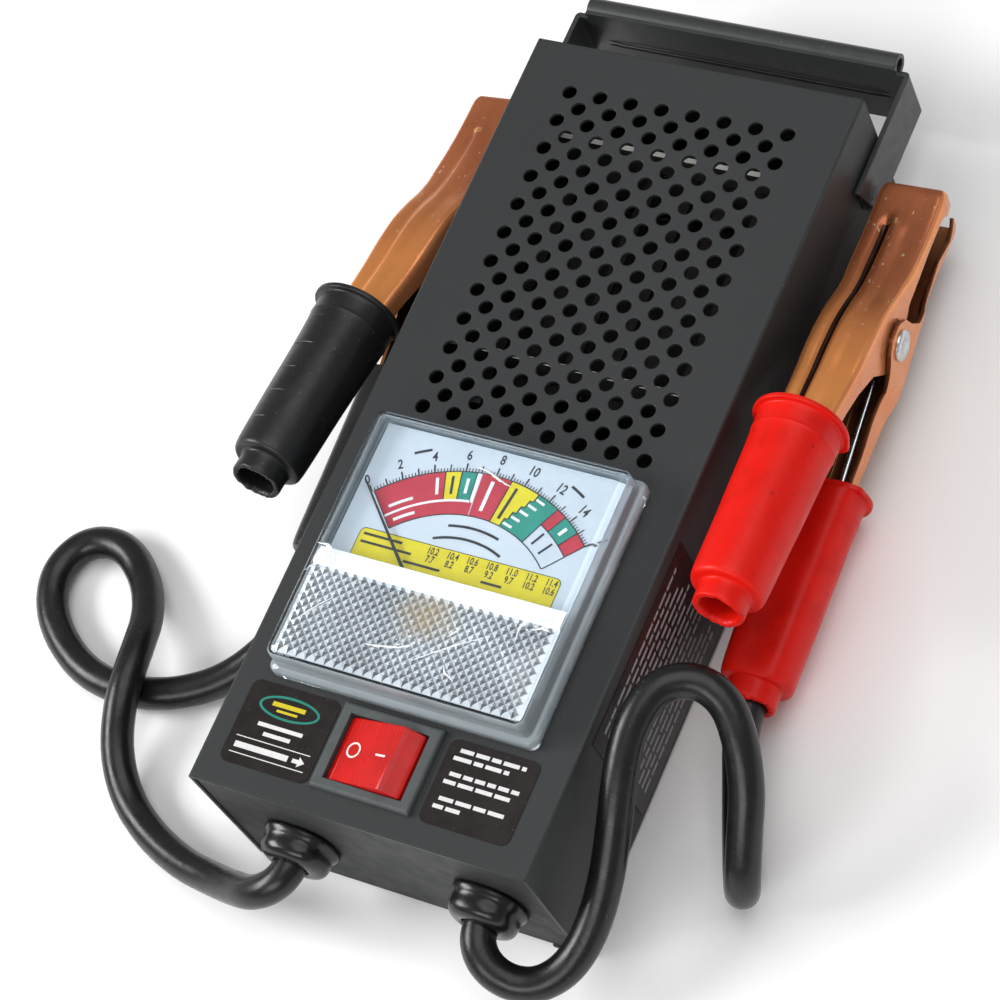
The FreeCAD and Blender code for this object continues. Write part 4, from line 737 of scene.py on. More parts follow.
def gland(name, x, nodename, seed):
    """Moulded grommet head: squat squarish dome with a flatter lip below that bulges a little at the bottom, and small
    ribs at the lower left.
    """
    zc, y0 = 28.0, -122.6
    cols, verts = 72, []
    prof = [(0.0, 10.6), (0.6, 10.7), (1.6, 10.6), (2.6, 10.1), (3.2, 9.7), (5.2, 9.75), (6.6, 9.6), (7.8, 8.9), (8.5, 7.9), (8.9, 6.7),
            (9.0, 5.6), (8.6, 5.05), (7.0, 4.95), (0.0, 4.95)]
    for k, (a, r) in enumerate(prof):
        for j in range(cols):
            th = 2 * math.pi * j / cols
            cx, cz = math.cos(th), math.sin(th)
            rr = r
            if r > 6:
                sq = (abs(cx) ** 3.2 + abs(cz) ** 3.2) ** (-1 / 3.2)      # squarish outline
                rr = r * (0.45 + 0.55 * sq)
                if a < 3.0:
                    rr *= 1.0 + 0.05 * max(0.0, -cz)
                # small ribs at the lower left
                ang = math.degrees(th) % 360
                if 195 < ang < 235 and 2.0 < a < 8.0:
                    rr *= 1 + 0.035 * math.cos((ang - 195) * math.pi * 2 / 10)
            verts.append(P(x + rr * cx, y0 - a, zc + rr * cz))
    rows = len(prof)
    faces = grid_faces(rows, cols)
    for j in range(cols):
        a, b = (rows - 1) * cols + j, (rows - 1) * cols + (j + 1) % cols
        faces.append((a, b, (j + 1) % cols, j))
    ob = put(name, verts, faces, M["black_gloss"], "case")
    bm = bmesh.new()
    bm.from_mesh(ob.data)
    bmesh.ops.recalc_face_normals(bm, faces=bm.faces)
    bm.to_mesh(ob.data)
    bm.free()
    sb = ob.modifiers.new("smooth", "SUBSURF")
    sb.levels = sb.render_levels = 1
    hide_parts(nodename)
    return ob


gland("gland_head_left", -26.8, "gland_left", 1)
gland("gland_head_right", 32.5, "gland_right", 2)

# -------------------------------------------------------------- flat prints


def poly_print(name, polys, z, mat, body="case", frame_fn=None, thick=0.02):
    """Thin inked areas; polys are lists of (x, y) in millimetres, laid at height z."""
    fn = frame_fn or (lambda x, y, h: P(x, y, z + h))
    bm = bmesh.new()
    for pl in polys:
        vs = [bm.verts.new(fn(x, y, 0.0)) for x, y in pl]
        f = bm.faces.new(vs)
        ex = bmesh.ops.extrude_face_region(bm, geom=[f])
        up = [g for g in ex["geom"] if isinstance(g, bmesh.types.BMVert)]
        lift = fn(0, 0, thick) - fn(0, 0, 0.0)
        bmesh.ops.translate(bm, verts=up, vec=lift)
    return from_bm(name, bm, mat, body)


def arc_poly(cx, cy, r0, r1, a0, a1, step=1.5):
    n = max(2, int(abs(a1 - a0) / step) + 1)
    A = [math.radians(a0 + (a1 - a0) * i / n) for i in range(n + 1)]
    return [(cx + r1 * math.cos(a), cy + r1 * math.sin(a)) for a in A] + [(cx + r0 * math.cos(a), cy + r0 * math.sin(a)) for a in reversed(A)]


def line_poly(x0, y0, x1, y1, w):
    dx, dy = x1 - x0, y1 - y0
    l = math.hypot(dx, dy)
    nx, ny = -dy / l * w / 2, dx / l * w / 2
    return [(x0 + nx, y0 + ny), (x0 - nx, y0 - ny), (x1 - nx, y1 - ny), (x1 + nx, y1 + ny)]


def figure_text(name, items, z, mat, body="case", size=2.2, thick=0.02, squeeze=0.72):
    """Numbers as thin geometry: items are (text, x, y, angle in degrees, size)."""
    dg_objs = []
    bm = bmesh.new()
    for k, (txt, x, y, ang, sz) in enumerate(items):
        cu = bpy.data.curves.new("tmp_text", "FONT")
        cu.body = txt
        cu.size = sz / 1000.0
        cu.align_x, cu.align_y = "CENTER", "CENTER"
        cu.extrude = thick / 2000.0
        cu.offset = sz * 0.022 / 1000.0
        cu.resolution_u = 3
        ob = bpy.data.objects.new("tmp_text", cu)
        bpy.context.scene.collection.objects.link(ob)
        bpy.context.view_layer.update()
        me = bpy.data.meshes.new_from_object(ob.evaluated_get(bpy.context.evaluated_depsgraph_get()))
        mt = Matrix.Translation(P(x, y, z + thick / 2)) @ Matrix.Rotation(math.radians(ang), 4, "Z") @ Matrix.Diagonal((squeeze, 1, 1, 1))
        me.transform(mt)
        bm.from_mesh(me)
        bpy.data.meshes.remove(me)
        bpy.data.objects.remove(ob)
        bpy.data.curves.remove(cu)
    me = bpy.data.meshes.new(name)
    bm.to_mesh(me)
    bm.free()
    me.materials.clear()
    me.materials.append(mat)
    for p in me.polygons:
        p.material_index = 0
    ob = bpy.data.objects.new(name, me)
    bpy.context.scene.collection.objects.link(ob)
    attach(ob, body)
    return ob


# dial
CX, CY, DZ = -0.5, -66.0, 62.0


def ang(v):
    return 134.8 - 5.57 * v


Z1, Z2, Z3 = DZ + 0.03, DZ + 0.07, DZ + 0.11
ro, ri, rm0, rm1, rc = 47.1, 34.2, 38.0, 38.7, 41.2
red_p = [arc_poly(CX, CY, rm1, ro, 134.0, 108.6), arc_poly(CX, CY, ri, rm0, 134.0, 95.6), arc_poly(CX, CY, ri, ro, 95.2, 84.1),
         arc_poly(CX, CY, rc, ro, 63.5, 59.2), arc_poly(CX, CY, rc, ro, 51.5, 45.8)]
steps = [(47.1, 44.5, 72.6), (44.5, 41.9, 73.9), (41.9, 39.3, 75.3), (39.3, 36.7, 76.8), (36.7, 34.2, 78.4)]
yel_p = [arc_poly(CX, CY, rm1, ro, 108.4, 102.8)] + [arc_poly(CX, CY, b, a, 83.9, c) for a, b, c in steps]
teal_p = [arc_poly(CX, CY, rm1, ro, 102.6, 97.1)] + [arc_poly(CX, CY, b, a, c, 63.5) for a, b, c in steps] + [arc_poly(CX, CY, rc, ro, 59.0, 51.7)]
white_p = [arc_poly(CX, CY, rm0, rm1, 134.0, 96.4), arc_poly(CX, CY, rm0, ro, 97.0, 95.4)]
poly_print("dial_bands_crimson", red_p, Z1, M["ink_red"])
poly_print("dial_bands_yellow", yel_p, Z1, M["ink_yellow"])
poly_print("dial_bands_teal", teal_p, Z1, M["ink_teal"])
poly_print("dial_lines_white", white_p, Z2, M["ink_white"])
lw = 0.30
blk = [arc_poly(CX, CY, ro, ro + lw, 134.2, 45.6), arc_poly(CX, CY, ri - lw, ri, 134.2, 45.8, 1.5), arc_poly(CX, CY, rc - lw, rc, 63.5, 45.8)]


def radial(a, r0, r1, w=lw):
    c, s_ = math.cos(math.radians(a)), math.sin(math.radians(a))
    return line_poly(CX + r0 * c, CY + r0 * s_, CX + r1 * c, CY + r1 * s_, w)


for a, r0, r1 in ((134.1, ri, ro), (108.5, rm1, ro), (102.7, rm1, ro), (97.1, rm1, ro), (84.0, ri, ro), (63.5, ri, ro), (59.1, rc, ro), (51.6, rc, ro), (45.8, ri, ro)):
    blk.append(radial(a, r0, r1))
for i, (a, b, c) in enumerate(steps):
    blk.append(radial(c, b, a))
    if i < 4:
        blk.append(arc_poly(CX, CY, b - lw / 2, b + lw / 2, c, steps[i + 1][2], 0.7))
for i in range(0, 81):
    v = i * 0.2
    if i % 10 == 0:
        blk.append(radial(ang(v), ro + 0.2, ro + 2.7, 0.46))
    elif i % 5 == 0:
        blk.append(radial(ang(v), ro + 0.2, ro + 2.3, 0.40))
    else:
        blk.append(radial(ang(v), ro + 0.2, ro + 1.25, 0.26))
poly_print("dial_scale_marks", blk, Z3, M["ink_black"])
nums = []
for v in range(0, 17, 2):
    a = math.radians(ang(v))
    rr = 52.2 if v not in (0, 16) else 51.6
    nums.append((str(v), CX + rr * math.cos(a), CY + rr * math.sin(a), (ang(v) - 90) * 0.75, 4.1))
figure_text("dial_numbers", nums, Z1, M["ink_black"], squeeze=0.78)
# yellow table with two rows of figures
ty1, ty0, tx0, tx1 = -43.0, -51.6, -31.9, 30.4
rr = 1.6
tab = [(tx0, ty0), (tx1, ty0), (tx1, ty1 - rr)] + [(tx1 - rr + rr * math.cos(a), ty1 - rr + rr * math.sin(a)) for a in [math.pi / 2 * i / 6 for i in range(1, 7)]] \
    + [(tx0 + rr + rr * math.cos(a), ty1 - rr + rr * math.sin(a)) for a in [math.pi / 2 + math.pi / 2 * i / 6 for i in range(0, 7)]]
poly_print("dial_table", [tab], Z1, M["ink_yellow"])
edge = []
for i in range(1, len(tab) - 1):
    (x0, y0), (x1, y1) = tab[i], tab[i + 1]
    if math.hypot(x1 - x0, y1 - y0) > 0.01:
        edge.append(line_poly(x0, y0, x1, y1, 0.22))
edge.append(line_poly(tx0, ty1 - rr, tx0, ty0, 0.22))
poly_print("dial_table_outline", edge, Z2, M["ink_black"])
rows_ = [("10.2", "7.7"), ("10.4", "8.2"), ("10.6", "8.7"), ("10.8", "9.2"), ("11.0", "9.7"), ("11.2", "10.2"), ("11.4", "10.6")]
tn = []
for i, (a, b) in enumerate(rows_):
    x = -8.7 + i * 6.1
    tn += [(a, x, -44.7, 0, 2.9), (b, x, -47.2, 0, 2.9)]
figure_text("dial_table_numbers", tn, Z2, M["ink_black"], squeeze=0.72)
# plain bars where the dial carries words
bars = []
for y, x0, x1 in ((-44.7, -30.6, -18.4), (-47.1, -30.6, -14.6), (-49.6, -16.0, -4.4), (-49.6, 8.2, 14.6)):
    bars.append(line_poly(x0, y, x1, y, 0.75))
for r, a0, a1 in ((30.6, 104, 74), (27.0, 112, 66)):
    bars.append(arc_poly(CX, CY, r - 0.4, r + 0.4, a0, a1, 2))
bars.append(arc_poly(CX, CY, 54.2, 55.0, 119, 113.5, 2))
bars.append(arc_poly(CX, CY, 54.2, 55.0, 66, 60.5, 2))
bars += [radial(59.5 - 0, 35.6, 40.0, 0.7), radial(53.5, 35.4, 40.0, 0.7)]
poly_print("dial_bars_dark", bars, Z2, M["ink_black"])
wb = [arc_poly(CX, CY, 40.2, 41.1, 131, 121, 2), arc_poly(CX, CY, 35.6, 36.5, 131, 121, 2), radial(111.4, 40.4, 45.6, 0.9), radial(99.8, 40.6, 45.2, 0.9),
      radial(90.5, 36.2, 45.4, 1.1), radial(55.3, 42.8, 45.6, 1.0)]
for r, a in ((45.7, 70.3), (43.2, 71.4), (40.6, 72.6), (38.0, 74.0), (35.4, 75.3)):
    c, s_ = math.cos(math.radians(a)), math.sin(math.radians(a))
    x, y = CX + r * c, CY + r * s_
    wb.append(line_poly(x - 1.5 * s_, y + 1.5 * c, x + 1.5 * s_, y - 1.5 * c, 0.75))
poly_print("dial_bars_white", wb, Z2, M["ink_white"])
poly_print("dial_bars_on_yellow", [radial(105.6, 40.2, 45.8, 0.8), radial(81.0, 35.8, 45.8, 0.9)], Z2, M["ink_black"])

# ------------------------------------------------------------ meter window
MX, MY = -0.5, -48.5


def round_rect(hw, hl, r, n=6, cx=MX, cy=MY, clip=None):
    pts = []
    for (sx, sy, a0) in ((1, 1, 0), (-1, 1, 90), (-1, -1, 180), (1, -1, 270)):
        for i in range(n + 1):
            a = math.radians(a0 + 90 * i / n)
            pts.append((cx + sx * (hw - r) + r * math.cos(a), cy + sy * (hl - r) + r * math.sin(a)))
    return pts


def cover_mesh():
    lv = [  # (half width, half length, corner radius, z)
        (41.3, 40.3, 2.4, 56.03), (41.5, 40.5, 2.5, 56.3), (41.5, 40.5, 2.5, 58.6), (41.35, 40.35, 2.5, 59.6), (41.0, 40.0, 2.4, 60.0),
        (40.25, 39.25, 2.4, 60.1), (39.95, 38.95, 2.4, 60.4), (39.9, 38.9, 2.4, 64.0), (39.8, 38.8, 2.5, 67.5), (39.55, 38.55, 2.6, 68.2),
        (38.7, 37.7, 2.9, 69.15), (38.2, 37.2, 3.0, 69.42), (37.6, 36.6, 3.0, 69.5)]
    bm = bmesh.new()
    rings = []
    for hw, hl, r, z in lv:
        rings.append([bm.verts.new(P(x, y, z)) for x, y in round_rect(hw, hl, r)])
    n = len(rings[0])
    for a, b in zip(rings, rings[1:]):
        for j in range(n):
            bm.faces.new((a[j], a[(j + 1) % n], b[(j + 1) % n], b[j]))
    bm.faces.new(rings[-1])
    inner = []
    for hw, hl, r, z in ((38.9, 37.9, 1.6, 56.03), (38.8, 37.8, 1.6, 64.0), (38.4, 37.4, 1.8, 66.9), (37.7, 36.7, 2.0, 67.55), (37.0, 36.0, 2.0, 67.6)):
        inner.append([bm.verts.new(P(x, y, z)) for x, y in round_rect(hw, hl, r)])
    for a, b in zip(inner, inner[1:]):
        for j in range(n):
            bm.faces.new((a[(j + 1) % n], a[j], b[j], b[(j + 1) % n]))
    bm.faces.new(list(reversed(inner[-1])))
    for j in range(n):
        bm.faces.new((rings[0][(j + 1) % n], rings[0][j], inner[0][j], inner[0][(j + 1) % n]))
    bm.faces.ensure_lookup_table()
    for k, f in enumerate(bm.faces):
        f.material_index = 1 if k < n * (len(lv) - 4) else 0
    return from_bm("meter_window", bm, [M["clear"], M["rim"]], "case", auto=38)


window = cover_mesh()
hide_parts("meter_cover")


def knurl_panel():
    """Pyramids at 45 degrees on a thin panel under the front of the window."""
    bm = bmesh.new()
    p = 2.13
    x0, x1, y0, y1 = -38.6, 37.6, -85.3, -58.2
    z = 66.85
    rnd = random.Random(5)
    # rotated grid clipped to the rectangle
    c45 = math.sqrt(0.5)
    vid = {}

    def vert(x, y, h):
        k = (round(x, 3), round(y, 3))
        if k not in vid:
            vid[k] = bm.verts.new(P(x, y, z + h))
        return vid[k]
    half = p / math.sqrt(2)
    nx = int((x1 - x0) / half)
    ny = int((y1 - y0) / half)
    for i in range(nx + 1):
        for j in range(ny + 1):
            if (i + j) % 2:
                continue
            cx, cy = x0 + i * half, y0 + j * half
            if not (x0 + half * 0.99 < cx < x1 - half * 0.99 and y0 + half * 0.99 < cy < y1 - half * 0.99):
                continue
            top = 0.58 + rnd.uniform(-0.04, 0.04)
            q = 0.22
            c = [(cx + half, cy), (cx, cy + half), (cx - half, cy), (cx, cy - half)]
            t = [bm.verts.new(P(cx + (a - cx) * q, cy + (b - cy) * q, z + top)) for a, b in c]
            bs = [vert(a, b, 0.0) for a, b in c]
            bm.faces.new(t)
            for k in range(4):
                fc = bm.faces.new((bs[k], bs[(k + 1) % 4], t[(k + 1) % 4], t[k]))
                # each facet direction takes its own lighter or darker silver: painted light and shade on the pyramids
                fc.material_index = (1, 0, 2, 3)[k]
    # backing sheet
    r = [bm.verts.new(P(a, b, z - 0.02)) for a, b in ((x0, y0), (x1, y0), (x1, y1), (x0, y1))]
    r2 = [bm.verts.new(P(a, b, z - 0.3)) for a, b in ((x0, y0), (x1, y0), (x1, y1), (x0, y1))]
    bm.faces.new(r)
    bm.faces.new(list(reversed(r2)))
    for k in range(4):
        bm.faces.new((r2[k], r2[(k + 1) % 4], r[(k + 1) % 4], r[k]))
    return from_bm("window_knurl", bm, [M["silver_knurl"], M["knurl_mid"], M["knurl_pale"], M["knurl_dark"]], "case")


def knurl_material(name, a, c, metallic):
    """Silvery with a golden-brown glimpse of the works in the middle."""
    m = surface(name, [(a, a * 1.01, a * 1.03), (c, c * 1.01, c * 1.02)], scale=40, detail=3,
                metallic=metallic, rough=(0.14, 0.28), rough_scale=60)
    nt = m.node_tree
    L = nt.links.new
    b = [n for n in nt.nodes if n.type == "BSDF_PRINCIPLED"][0]
    src = b.inputs["Base Color"].links[0].from_socket
    tc = [n for n in nt.nodes if n.type == "TEX_COORD"][0]
    mp = nt.nodes.new("ShaderNodeMapping")
    c = P(0.3, -64.6, 0)
    mp.inputs["Location"].default_value = (-c.x * 75, -c.y * 95, 0)
    mp.inputs["Scale"].default_value = (75, 95, 0)
    L(tc.outputs["Object"], mp.inputs["Vector"])
    gr = nt.nodes.new("ShaderNodeTexGradient")
    gr.gradient_type = "SPHERICAL"
    L(mp.outputs[0], gr.inputs[0])
    nz = node(nt, "ShaderNodeTexNoise", Scale=260.0, Detail=3.0)
    L(tc.outputs["Object"], nz.inputs["Vector"])
    mu = nt.nodes.new("ShaderNodeMath")
    mu.operation = "MULTIPLY"
    L(gr.outputs["Fac"], mu.inputs[0])
    L(nz.outputs["Fac"], mu.inputs[1])
    mr = nt.nodes.new("ShaderNodeMapRange")
    mr.inputs["From Min"].default_value, mr.inputs["From Max"].default_value = 0.05, 0.62
    L(mu.outputs[0], mr.inputs["Value"])
    mx = nt.nodes.new("ShaderNodeMixRGB")
    L(mr.outputs[0], mx.inputs["Fac"])
    L(src, mx.inputs["Color1"])
    mx.inputs["Color2"].default_value = (0.50, 0.38, 0.24, 1)
    L(mx.outputs[0], b.inputs["Base Color"])
    return m


# four copies of one silver, lighter and darker by facet direction: painted light and shade
M["silver_knurl"] = knurl_material("knurl_facet_painted_lit", 0.70, 0.95, 0.5)
M["knurl_mid"] = knurl_material("knurl_facet_painted_half_shade", 0.30, 0.46, 0.5)
M["knurl_pale"] = knurl_material("knurl_facet_painted_half_lit", 0.42, 0.62, 0.5)
M["knurl_dark"] = knurl_material("knurl_facet_painted_shade", 0.13, 0.26, 0.6)
knurl_panel()
# the bevelled band where the clear part of the window meets the knurled part, coloured white as a painted reflection on
# the bevel
bm = bmesh.new()
pr = [(-53.4, 66.55), (-53.2, 67.0), (-54.6, 67.42), (-57.9, 67.44), (-58.6, 67.1), (-58.6, 66.6)]
a = [bm.verts.new(P(-38.5, y, z)) for y, z in pr]
b = [bm.verts.new(P(37.5, y, z)) for y, z in pr]
bm.faces.new(list(reversed(a)))
bm.faces.new(b)
for k in range(len(pr)):
    bm.faces.new((a[k], a[(k + 1) % len(pr)], b[(k + 1) % len(pr)], b[k]))
from_bm("window_band", bm, M["glare"], "case", auto=40)

def crease(name, pts, width, seed, mat=None, lift=0.16):
    """A sharp fold of protective film standing a little off the window: a thin ridge with uneven edges, white by
    default as a painted glint on the fold.
    """
    rnd = random.Random(seed)
    P2 = []
    for (x0, y0), (x1, y1) in zip(pts, pts[1:]):
        n = max(2, int(math.hypot(x1 - x0, y1 - y0) / 0.6))
        P2 += [(x0 + (x1 - x0) * i / n, y0 + (y1 - y0) * i / n) for i in range(n)]
    P2.append(pts[-1])
    vs, fs = [], []
    m = len(P2)
    for i, (x, y) in enumerate(P2):
        a = P2[min(i + 1, m - 1)]
        b_ = P2[max(i - 1, 0)]
        dx, dy = a[0] - b_[0], a[1] - b_[1]
        l = math.hypot(dx, dy) or 1
        nx, ny = -dy / l, dx / l
        w = width * (0.35 + 0.65 * math.sin(math.pi * (i + 0.5) / m)) * rnd.uniform(0.55, 1.25)
        j = rnd.uniform(-0.12, 0.12)
        for k, h in ((-1.0, 0.02), (-0.15, lift * rnd.uniform(0.6, 1.2)), (0.2, lift * rnd.uniform(0.5, 1.1)), (1.0, 0.02)):
            vs.append(P(x + nx * (w * k / 2 + j), y + ny * (w * k / 2 + j), 69.52 + h))
    for i in range(m - 1):
        for k in range(3):
            a0 = i * 4 + k
            fs.append((a0, a0 + 1, a0 + 5, a0 + 4))
    ob = put(name, vs, fs, mat or M["glare"], "case")
    so = ob.modifiers.new("thickness", "SOLIDIFY")
    so.thickness = 0.00003
    return ob


# the film's real folds, each drawn as a white ridge: a painted glint along the fold
CREASES = [([(-12.0, -77.6), (-7.5, -76.9), (-2.5, -76.0), (0.6, -74.4)], 0.75), ([(3.2, -78.0), (7.5, -74.8), (13.0, -70.9), (19.4, -66.9)], 0.55),
           ([(-35.2, -76.9), (-31.6, -72.0), (-27.4, -67.5)], 0.45), ([(-3.3, -20.1), (0.2, -20.6), (3.4, -21.9), (8.2, -23.3)], 0.75),
           ([(27.6, -60.8), (30.4, -57.6), (34.2, -56.4), (37.0, -56.9)], 0.7), ([(28.2, -64.6), (28.0, -61.4), (29.8, -58.6)], 0.6),
           ([(31.6, -61.2), (34.0, -60.0), (36.8, -60.4)], 0.5), ([(-38.6, -53.2), (-35.4, -53.0), (-32.6, -55.2), (-31.2, -58.0)], 0.75),
           ([(-37.8, -57.6), (-34.4, -57.0), (-31.4, -59.6)], 0.6), ([(-38.8, -62.0), (-36.4, -58.6), (-35.0, -55.6)], 0.45),
           ([(12.0, -77.4), (13.4, -79.4), (16.2, -80.6)], 0.5), ([(9.6, -69.4), (12.4, -66.0)], 0.5)]
for i, (pts_, w_) in enumerate(CREASES):
    crease("film_fold_painted_glint_%02d" % (i + 1), pts_, w_, 40 + i)


def crumple(name, cx, cy, rx, ry, seed, n=15, amp=0.75):
    """A crushed patch of the film: a faceted, irregular sheet."""
    vs, fs = [], []
    for i in range(n):
        for j in range(n):
            u, v = 2 * i / (n - 1) - 1, 2 * j / (n - 1) - 1
            r = math.hypot(u, v)
            k = max(0.0, 1 - r * r * 0.55)
            a = noise.noise(Vector((u * 2.6 + seed, v * 2.6, 0.3)))
            b_ = noise.noise(Vector((u * 6.1, v * 6.1 + seed, 1.7)))
            edge = 1 + 0.25 * noise.noise(Vector((u * 1.7, v * 1.7, seed)))
            vs.append(P(cx + u * rx * edge + 0.3 * b_, cy + v * ry * edge + 0.3 * a, 69.56 + amp * k * abs(a) + 0.35 * k * abs(b_)))
    for i in range(n - 1):
        for j in range(n - 1):
            a0 = i * n + j
            c = ((2 * (i + 0.5) / (n - 1) - 1) ** 2 + (2 * (j + 0.5) / (n - 1) - 1) ** 2)
            if c < 1.0 + 0.2 * math.sin(i * 1.7 + j * 2.3 + seed):
                fs.append((a0, a0 + n, a0 + n + 1))
                fs.append((a0, a0 + n + 1, a0 + 1))
    ob = put(name, vs, fs, M["film"], "case", smooth=False)
    so = ob.modifiers.new("thickness", "SOLIDIFY")
    so.thickness = 0.00004
    return ob


crumple("film_patch_middle", -0.6, -72.8, 4.6, 3.4, 3.0)
crumple("film_patch_left", -34.6, -56.4, 4.0, 3.6, 8.0, amp=0.9)
crumple("film_patch_right", 31.8, -58.6, 4.2, 3.4, 13.0, amp=0.9)

# ------------------------------------------------------------------ rocker
SX, SY, RZ = -1.2, -103.2, 53.5


def rocker_mesh():
    prof = [(-11.9, 2.3), (-11.85, 2.75), (-11.5, 3.02), (-11.0, 3.15)]
    n = 34
    for i in range(1, n + 1):                    # ribs across the long face
        x = -11.0 + (5.3 + 11.0) * i / n
        z = 3.15 + (7.45 - 3.15) * i / n
        prof.append((x, z + (0.11 if i % 2 else -0.05)))
    prof += [(5.75, 7.62), (6.1, 7.66), (6.5, 7.45), (7.2, 7.0)]
    for i in range(1, 9):
        x = 7.2 + (10.8 - 7.2) * i / 8
        z = 7.0 + (4.65 - 7.0) * i / 8
        prof.append((x, z + (0.05 if i % 2 else -0.03)))
    prof += [(11.15, 4.35), (11.3, 3.9), (10.8, -3.0), (4.0, -6.0), (-4.0, -6.0), (-11.2, -3.0)]
    hw = 9.45
    bm = bmesh.new()
    ys = [(-hw, 0.45), (-hw + 0.10, 0.18), (-hw + 0.42, 0.0), (hw - 0.42, 0.0), (hw - 0.10, 0.18), (hw, 0.45)]
    rings = []
    for y, sh in ys:
        rings.append([bm.verts.new(P(SX + x * (1 - sh / 12.0), SY + y, RZ + z - (sh if z > 0 else -sh))) for x, z in prof])
    m = len(prof)
    for a_, b_ in zip(rings, rings[1:]):
        for k in range(m):
            bm.faces.new((a_[k], a_[(k + 1) % m], b_[(k + 1) % m], b_[k]))
    bm.faces.new(rings[0])
    bm.faces.new(list(reversed(rings[-1])))
    return from_bm("rocker_cap", bm, M["rocker"], "rocker", auto=28)


rk = rocker_mesh()
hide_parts("rocker")


def on_rocker(x, y, h):
    """A place on the rocker's long face; x along the slope from the switch centre."""
    z = 3.15 + (7.45 - 3.15) * (x + 11.0) / 16.3
    return P(SX + x, SY + y, RZ + z + 0.06 + h)


ringo = []
N = 28
for k in range(N):
    a0, a1 = 2 * math.pi * k / N, 2 * math.pi * (k + 1) / N
    ringo.append([(-7.0 + r * math.cos(a) * 0.95, r * math.sin(a)) for r, a in ((2.35, a0), (2.35, a1), (1.8, a1), (1.8, a0))])
poly_print("rocker_mark_ring", ringo, 0, M["mark"], body="rocker", frame_fn=on_rocker, thick=0.05)
poly_print("rocker_mark_bar", [line_poly(0.6, 0.0, 3.9, 0.0, 0.6)], 0, M["mark"], body="rocker", frame_fn=on_rocker, thick=0.05)

# ------------------------------------------------------------------ labels
LZ = 56.28


def star(cx, cy, r, n=5):
    return [(cx + (r if k % 2 == 0 else r * 0.45) * math.cos(math.pi / 2 + math.pi * k / n), cy + (r if k % 2 == 0 else r * 0.45) * math.sin(math.pi / 2 + math.pi * k / n)) for k in range(2 * n)]


# left: a plain ring badge, two bars, and an arrow between two lines
badge = []
for k in range(40):
    a0, a1 = 2 * math.pi * k / 40, 2 * math.pi * (k + 1) / 40
    badge.append([(-32.0 + rx * math.cos(a), -97.2 + ry * math.sin(a)) for rx, ry, a in ((9.6, 3.5, a0), (9.6, 3.5, a1), (8.8, 2.8, a1), (8.8, 2.8, a0))])
poly_print("label_left_ring", badge, LZ, M["ink_teal"])
poly_print("label_left_bar_top", [line_poly(-37.6, -96.6, -27.2, -96.6, 1.3), line_poly(-35.6, -98.4, -29.0, -98.4, 0.7)], LZ, M["ink_yellow"])
lb = [line_poly(-39.2, -103.2, -25.0, -103.2, 1.15), line_poly(-36.4, -105.7, -27.8, -105.7, 1.15),
      line_poly(-43.8, -108.0, -20.2, -108.0, 0.28), line_poly(-43.8, -112.9, -20.2, -112.9, 0.28),
      line_poly(-43.2, -110.5, -26.2, -110.5, 1.7)]
lb.append([(-24.8, -109.9), (-22.9, -109.9), (-22.9, -109.0), (-20.9, -110.5), (-22.9, -112.0), (-22.9, -111.1), (-24.8, -111.1)])
poly_print("label_left_marks", lb, LZ, M["ink_white"])
# right: three pairs of lines of bars
rb_ = []
for y, x0, x1 in ((-94.3, 20.3, 40.2), (-96.7, 19.2, 36.0), (-101.2, 20.0, 41.0), (-103.6, 19.2, 40.4), (-108.4, 20.0, 39.6), (-110.8, 19.2, 28.0)):
    x = x0
    rnd = random.Random(int(-y * 10))
    while x < x1:
        w = min(rnd.uniform(2.4, 5.4), x1 - x)
        if w > 0.8:
            rb_.append(line_poly(x, y, x + w, y, 1.15))
        x += w + 0.75
poly_print("label_right_marks", rb_, LZ, M["ink_white"])


def on_side(x, y, h):
    """x runs along the case towards the rear, y up."""
    return P(52.745 + h, x, y)


sb_ = []
rnd = random.Random(77)
y = 47.4
while y > 6.0:
    x = -76.0
    xe = rnd.uniform(-32, -24)
    while x < xe:
        w = min(rnd.uniform(2.4, 6.2), xe - x)
        if w > 1.0:
            sb_.append([(x, y - 0.55), (x + w, y - 0.55), (x + w + 0.3, y + 0.55), (x + 0.3, y + 0.55)])
        x += w + 0.8
    y -= 3.05
poly_print("side_label_marks", sb_, 0, M["ink_grey"], frame_fn=on_side)

# pressed line along the inner face of the strap's web: a dark groove under a soft ridge
M["groove"] = surface("shadowed_press_line", [(0.003, 0.003, 0.003), (0.008, 0.008, 0.008)], scale=300, rough=(0.5, 0.7), specular=0.2)
for nm_, zc_, hh_, dep_, mt_ in (("strap_groove", 25.3, 0.75, 0.10, "groove"), ("strap_ridge", 27.0, 0.95, 0.45, "powder_handle")):
    vs, fs = [], []
    n1, n2 = 60, 9
    for i in range(n1 + 1):
        x = -46.5 + 93.0 * i / n1
        fade = min(1.0, (46.6 - abs(x)) / 4.0)
        for k in range(n2):
            t = math.pi * k / (n2 - 1)
            vs.append(P(x, 143.48 - dep_ * math.sin(t) * fade, zc_ - hh_ * math.cos(t) * (0.35 + 0.65 * fade)))
    for i in range(n1):
        for k in range(n2 - 1):
            a0 = i * n2 + k
            fs.append((a0, a0 + 1, a0 + 1 + n2, a0 + n2))
    ob = put(nm_, vs, fs, M[mt_], "handle")

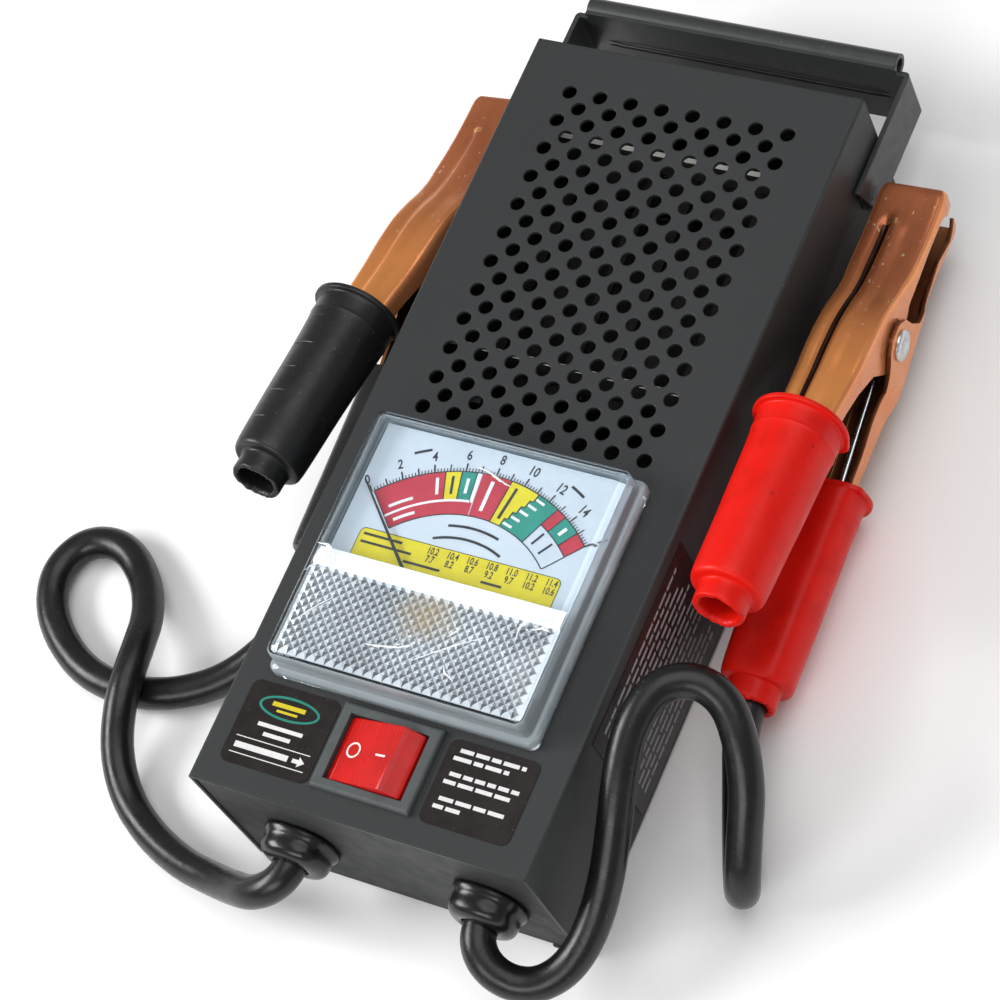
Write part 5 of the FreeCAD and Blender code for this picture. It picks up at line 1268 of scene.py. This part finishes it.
# -------------------------------------------- finishes on the carried nodes
FIN = {"case_cover": "powder", "base_tray": "powder_painted_shade", "case_screws": "blued", "handle": "powder_handle", "handle_pivots": "powder_handle",
       "handle_washers": "blued", "handle_clips": "blued", "meter_base": "black_gloss", "dial_plate": "dial", "dial_pillars": "brass",
       "meter_needle": "ink_black", "needle_shaft": "zinc", "moving_coil": "copper_wire", "meter_core": "iron", "meter_magnet": "iron",
       "lower_bridge": "brass", "upper_bridge": "brass", "hairspring": "copper_wire", "meter_studs": "brass", "stud_nuts": "brass",
       "meter_posts": "zinc", "meter_post_nuts": "zinc", "switch_body": "bezel", "rocker_pin": "zinc", "switch_terminals": "brass",
       "switch_contact": "copper_wire", "switch_spring": "spring", "insulator_front": "ceramic", "insulator_rear": "ceramic",
       "load_element": "nichrome", "element_brackets": "blued", "bracket_screws": "blued", "heat_shield": "blued", "inner_wire_red": "red_wire",
       "inner_wire_black": "cord", "load_wire": "cord", "element_lugs": "iron", "label_left": "label", "label_right": "label", "side_label": "label"}
for n, o in NODES.items():
    if o.hide_render:
        continue
    mt = M[FIN[n]]
    if o.material_slots:
        for s_ in o.material_slots:
            s_.material = mt
    else:
        o.data.materials.append(mt)

# -------------------------------------------------------- floor and lights
bm = bmesh.new()
bmesh.ops.create_grid(bm, x_segments=24, y_segments=24, size=4.0)
me = bpy.data.meshes.new("floor")
bm.to_mesh(me)
bm.free()
floor = bpy.data.objects.new("floor", me)
bpy.context.scene.collection.objects.link(floor)
floor.location = (0, 0, -0.0002)
me.materials.append(surface("pale_floor", [(0.92, 0.92, 0.92), (0.94, 0.94, 0.94)], scale=3, rough=(0.7, 0.8)))

world = bpy.data.worlds.new("studio")
bpy.context.scene.world = world
world.use_nodes = True
world.node_tree.nodes["Background"].inputs[0].default_value = (1.0, 1.0, 1.0, 1)
world.node_tree.nodes["Background"].inputs[1].default_value = 0.34


def area(name, loc, target, size, power, colour=(1, 1, 1)):
    d = bpy.data.lights.new(name, "AREA")
    d.shape = "RECTANGLE"
    d.size, d.size_y = size
    d.energy = power
    d.color = colour
    o = bpy.data.objects.new(name, d)
    bpy.context.scene.collection.objects.link(o)
    o.location = loc
    o.rotation_mode = "QUATERNION"
    o.rotation_quaternion = (Vector(target) - Vector(loc)).to_track_quat("-Z", "Y")
    return o


area("key_left", (-1.15, -0.50, 0.95), (0, 0, 0.03), (0.8, 0.55), 19)
area("fill_front", (0.1, -1.25, 0.9), (0, 0, 0.03), (1.0, 0.5), 7)
area("top_soft", (0.35, 0.25, 1.6), (0, 0, 0.0), (1.5, 1.5), 13)

sc = bpy.context.scene
sc.view_settings.view_transform = "Standard"
sc.view_settings.look = "None"
sc.view_settings.exposure = 0.0
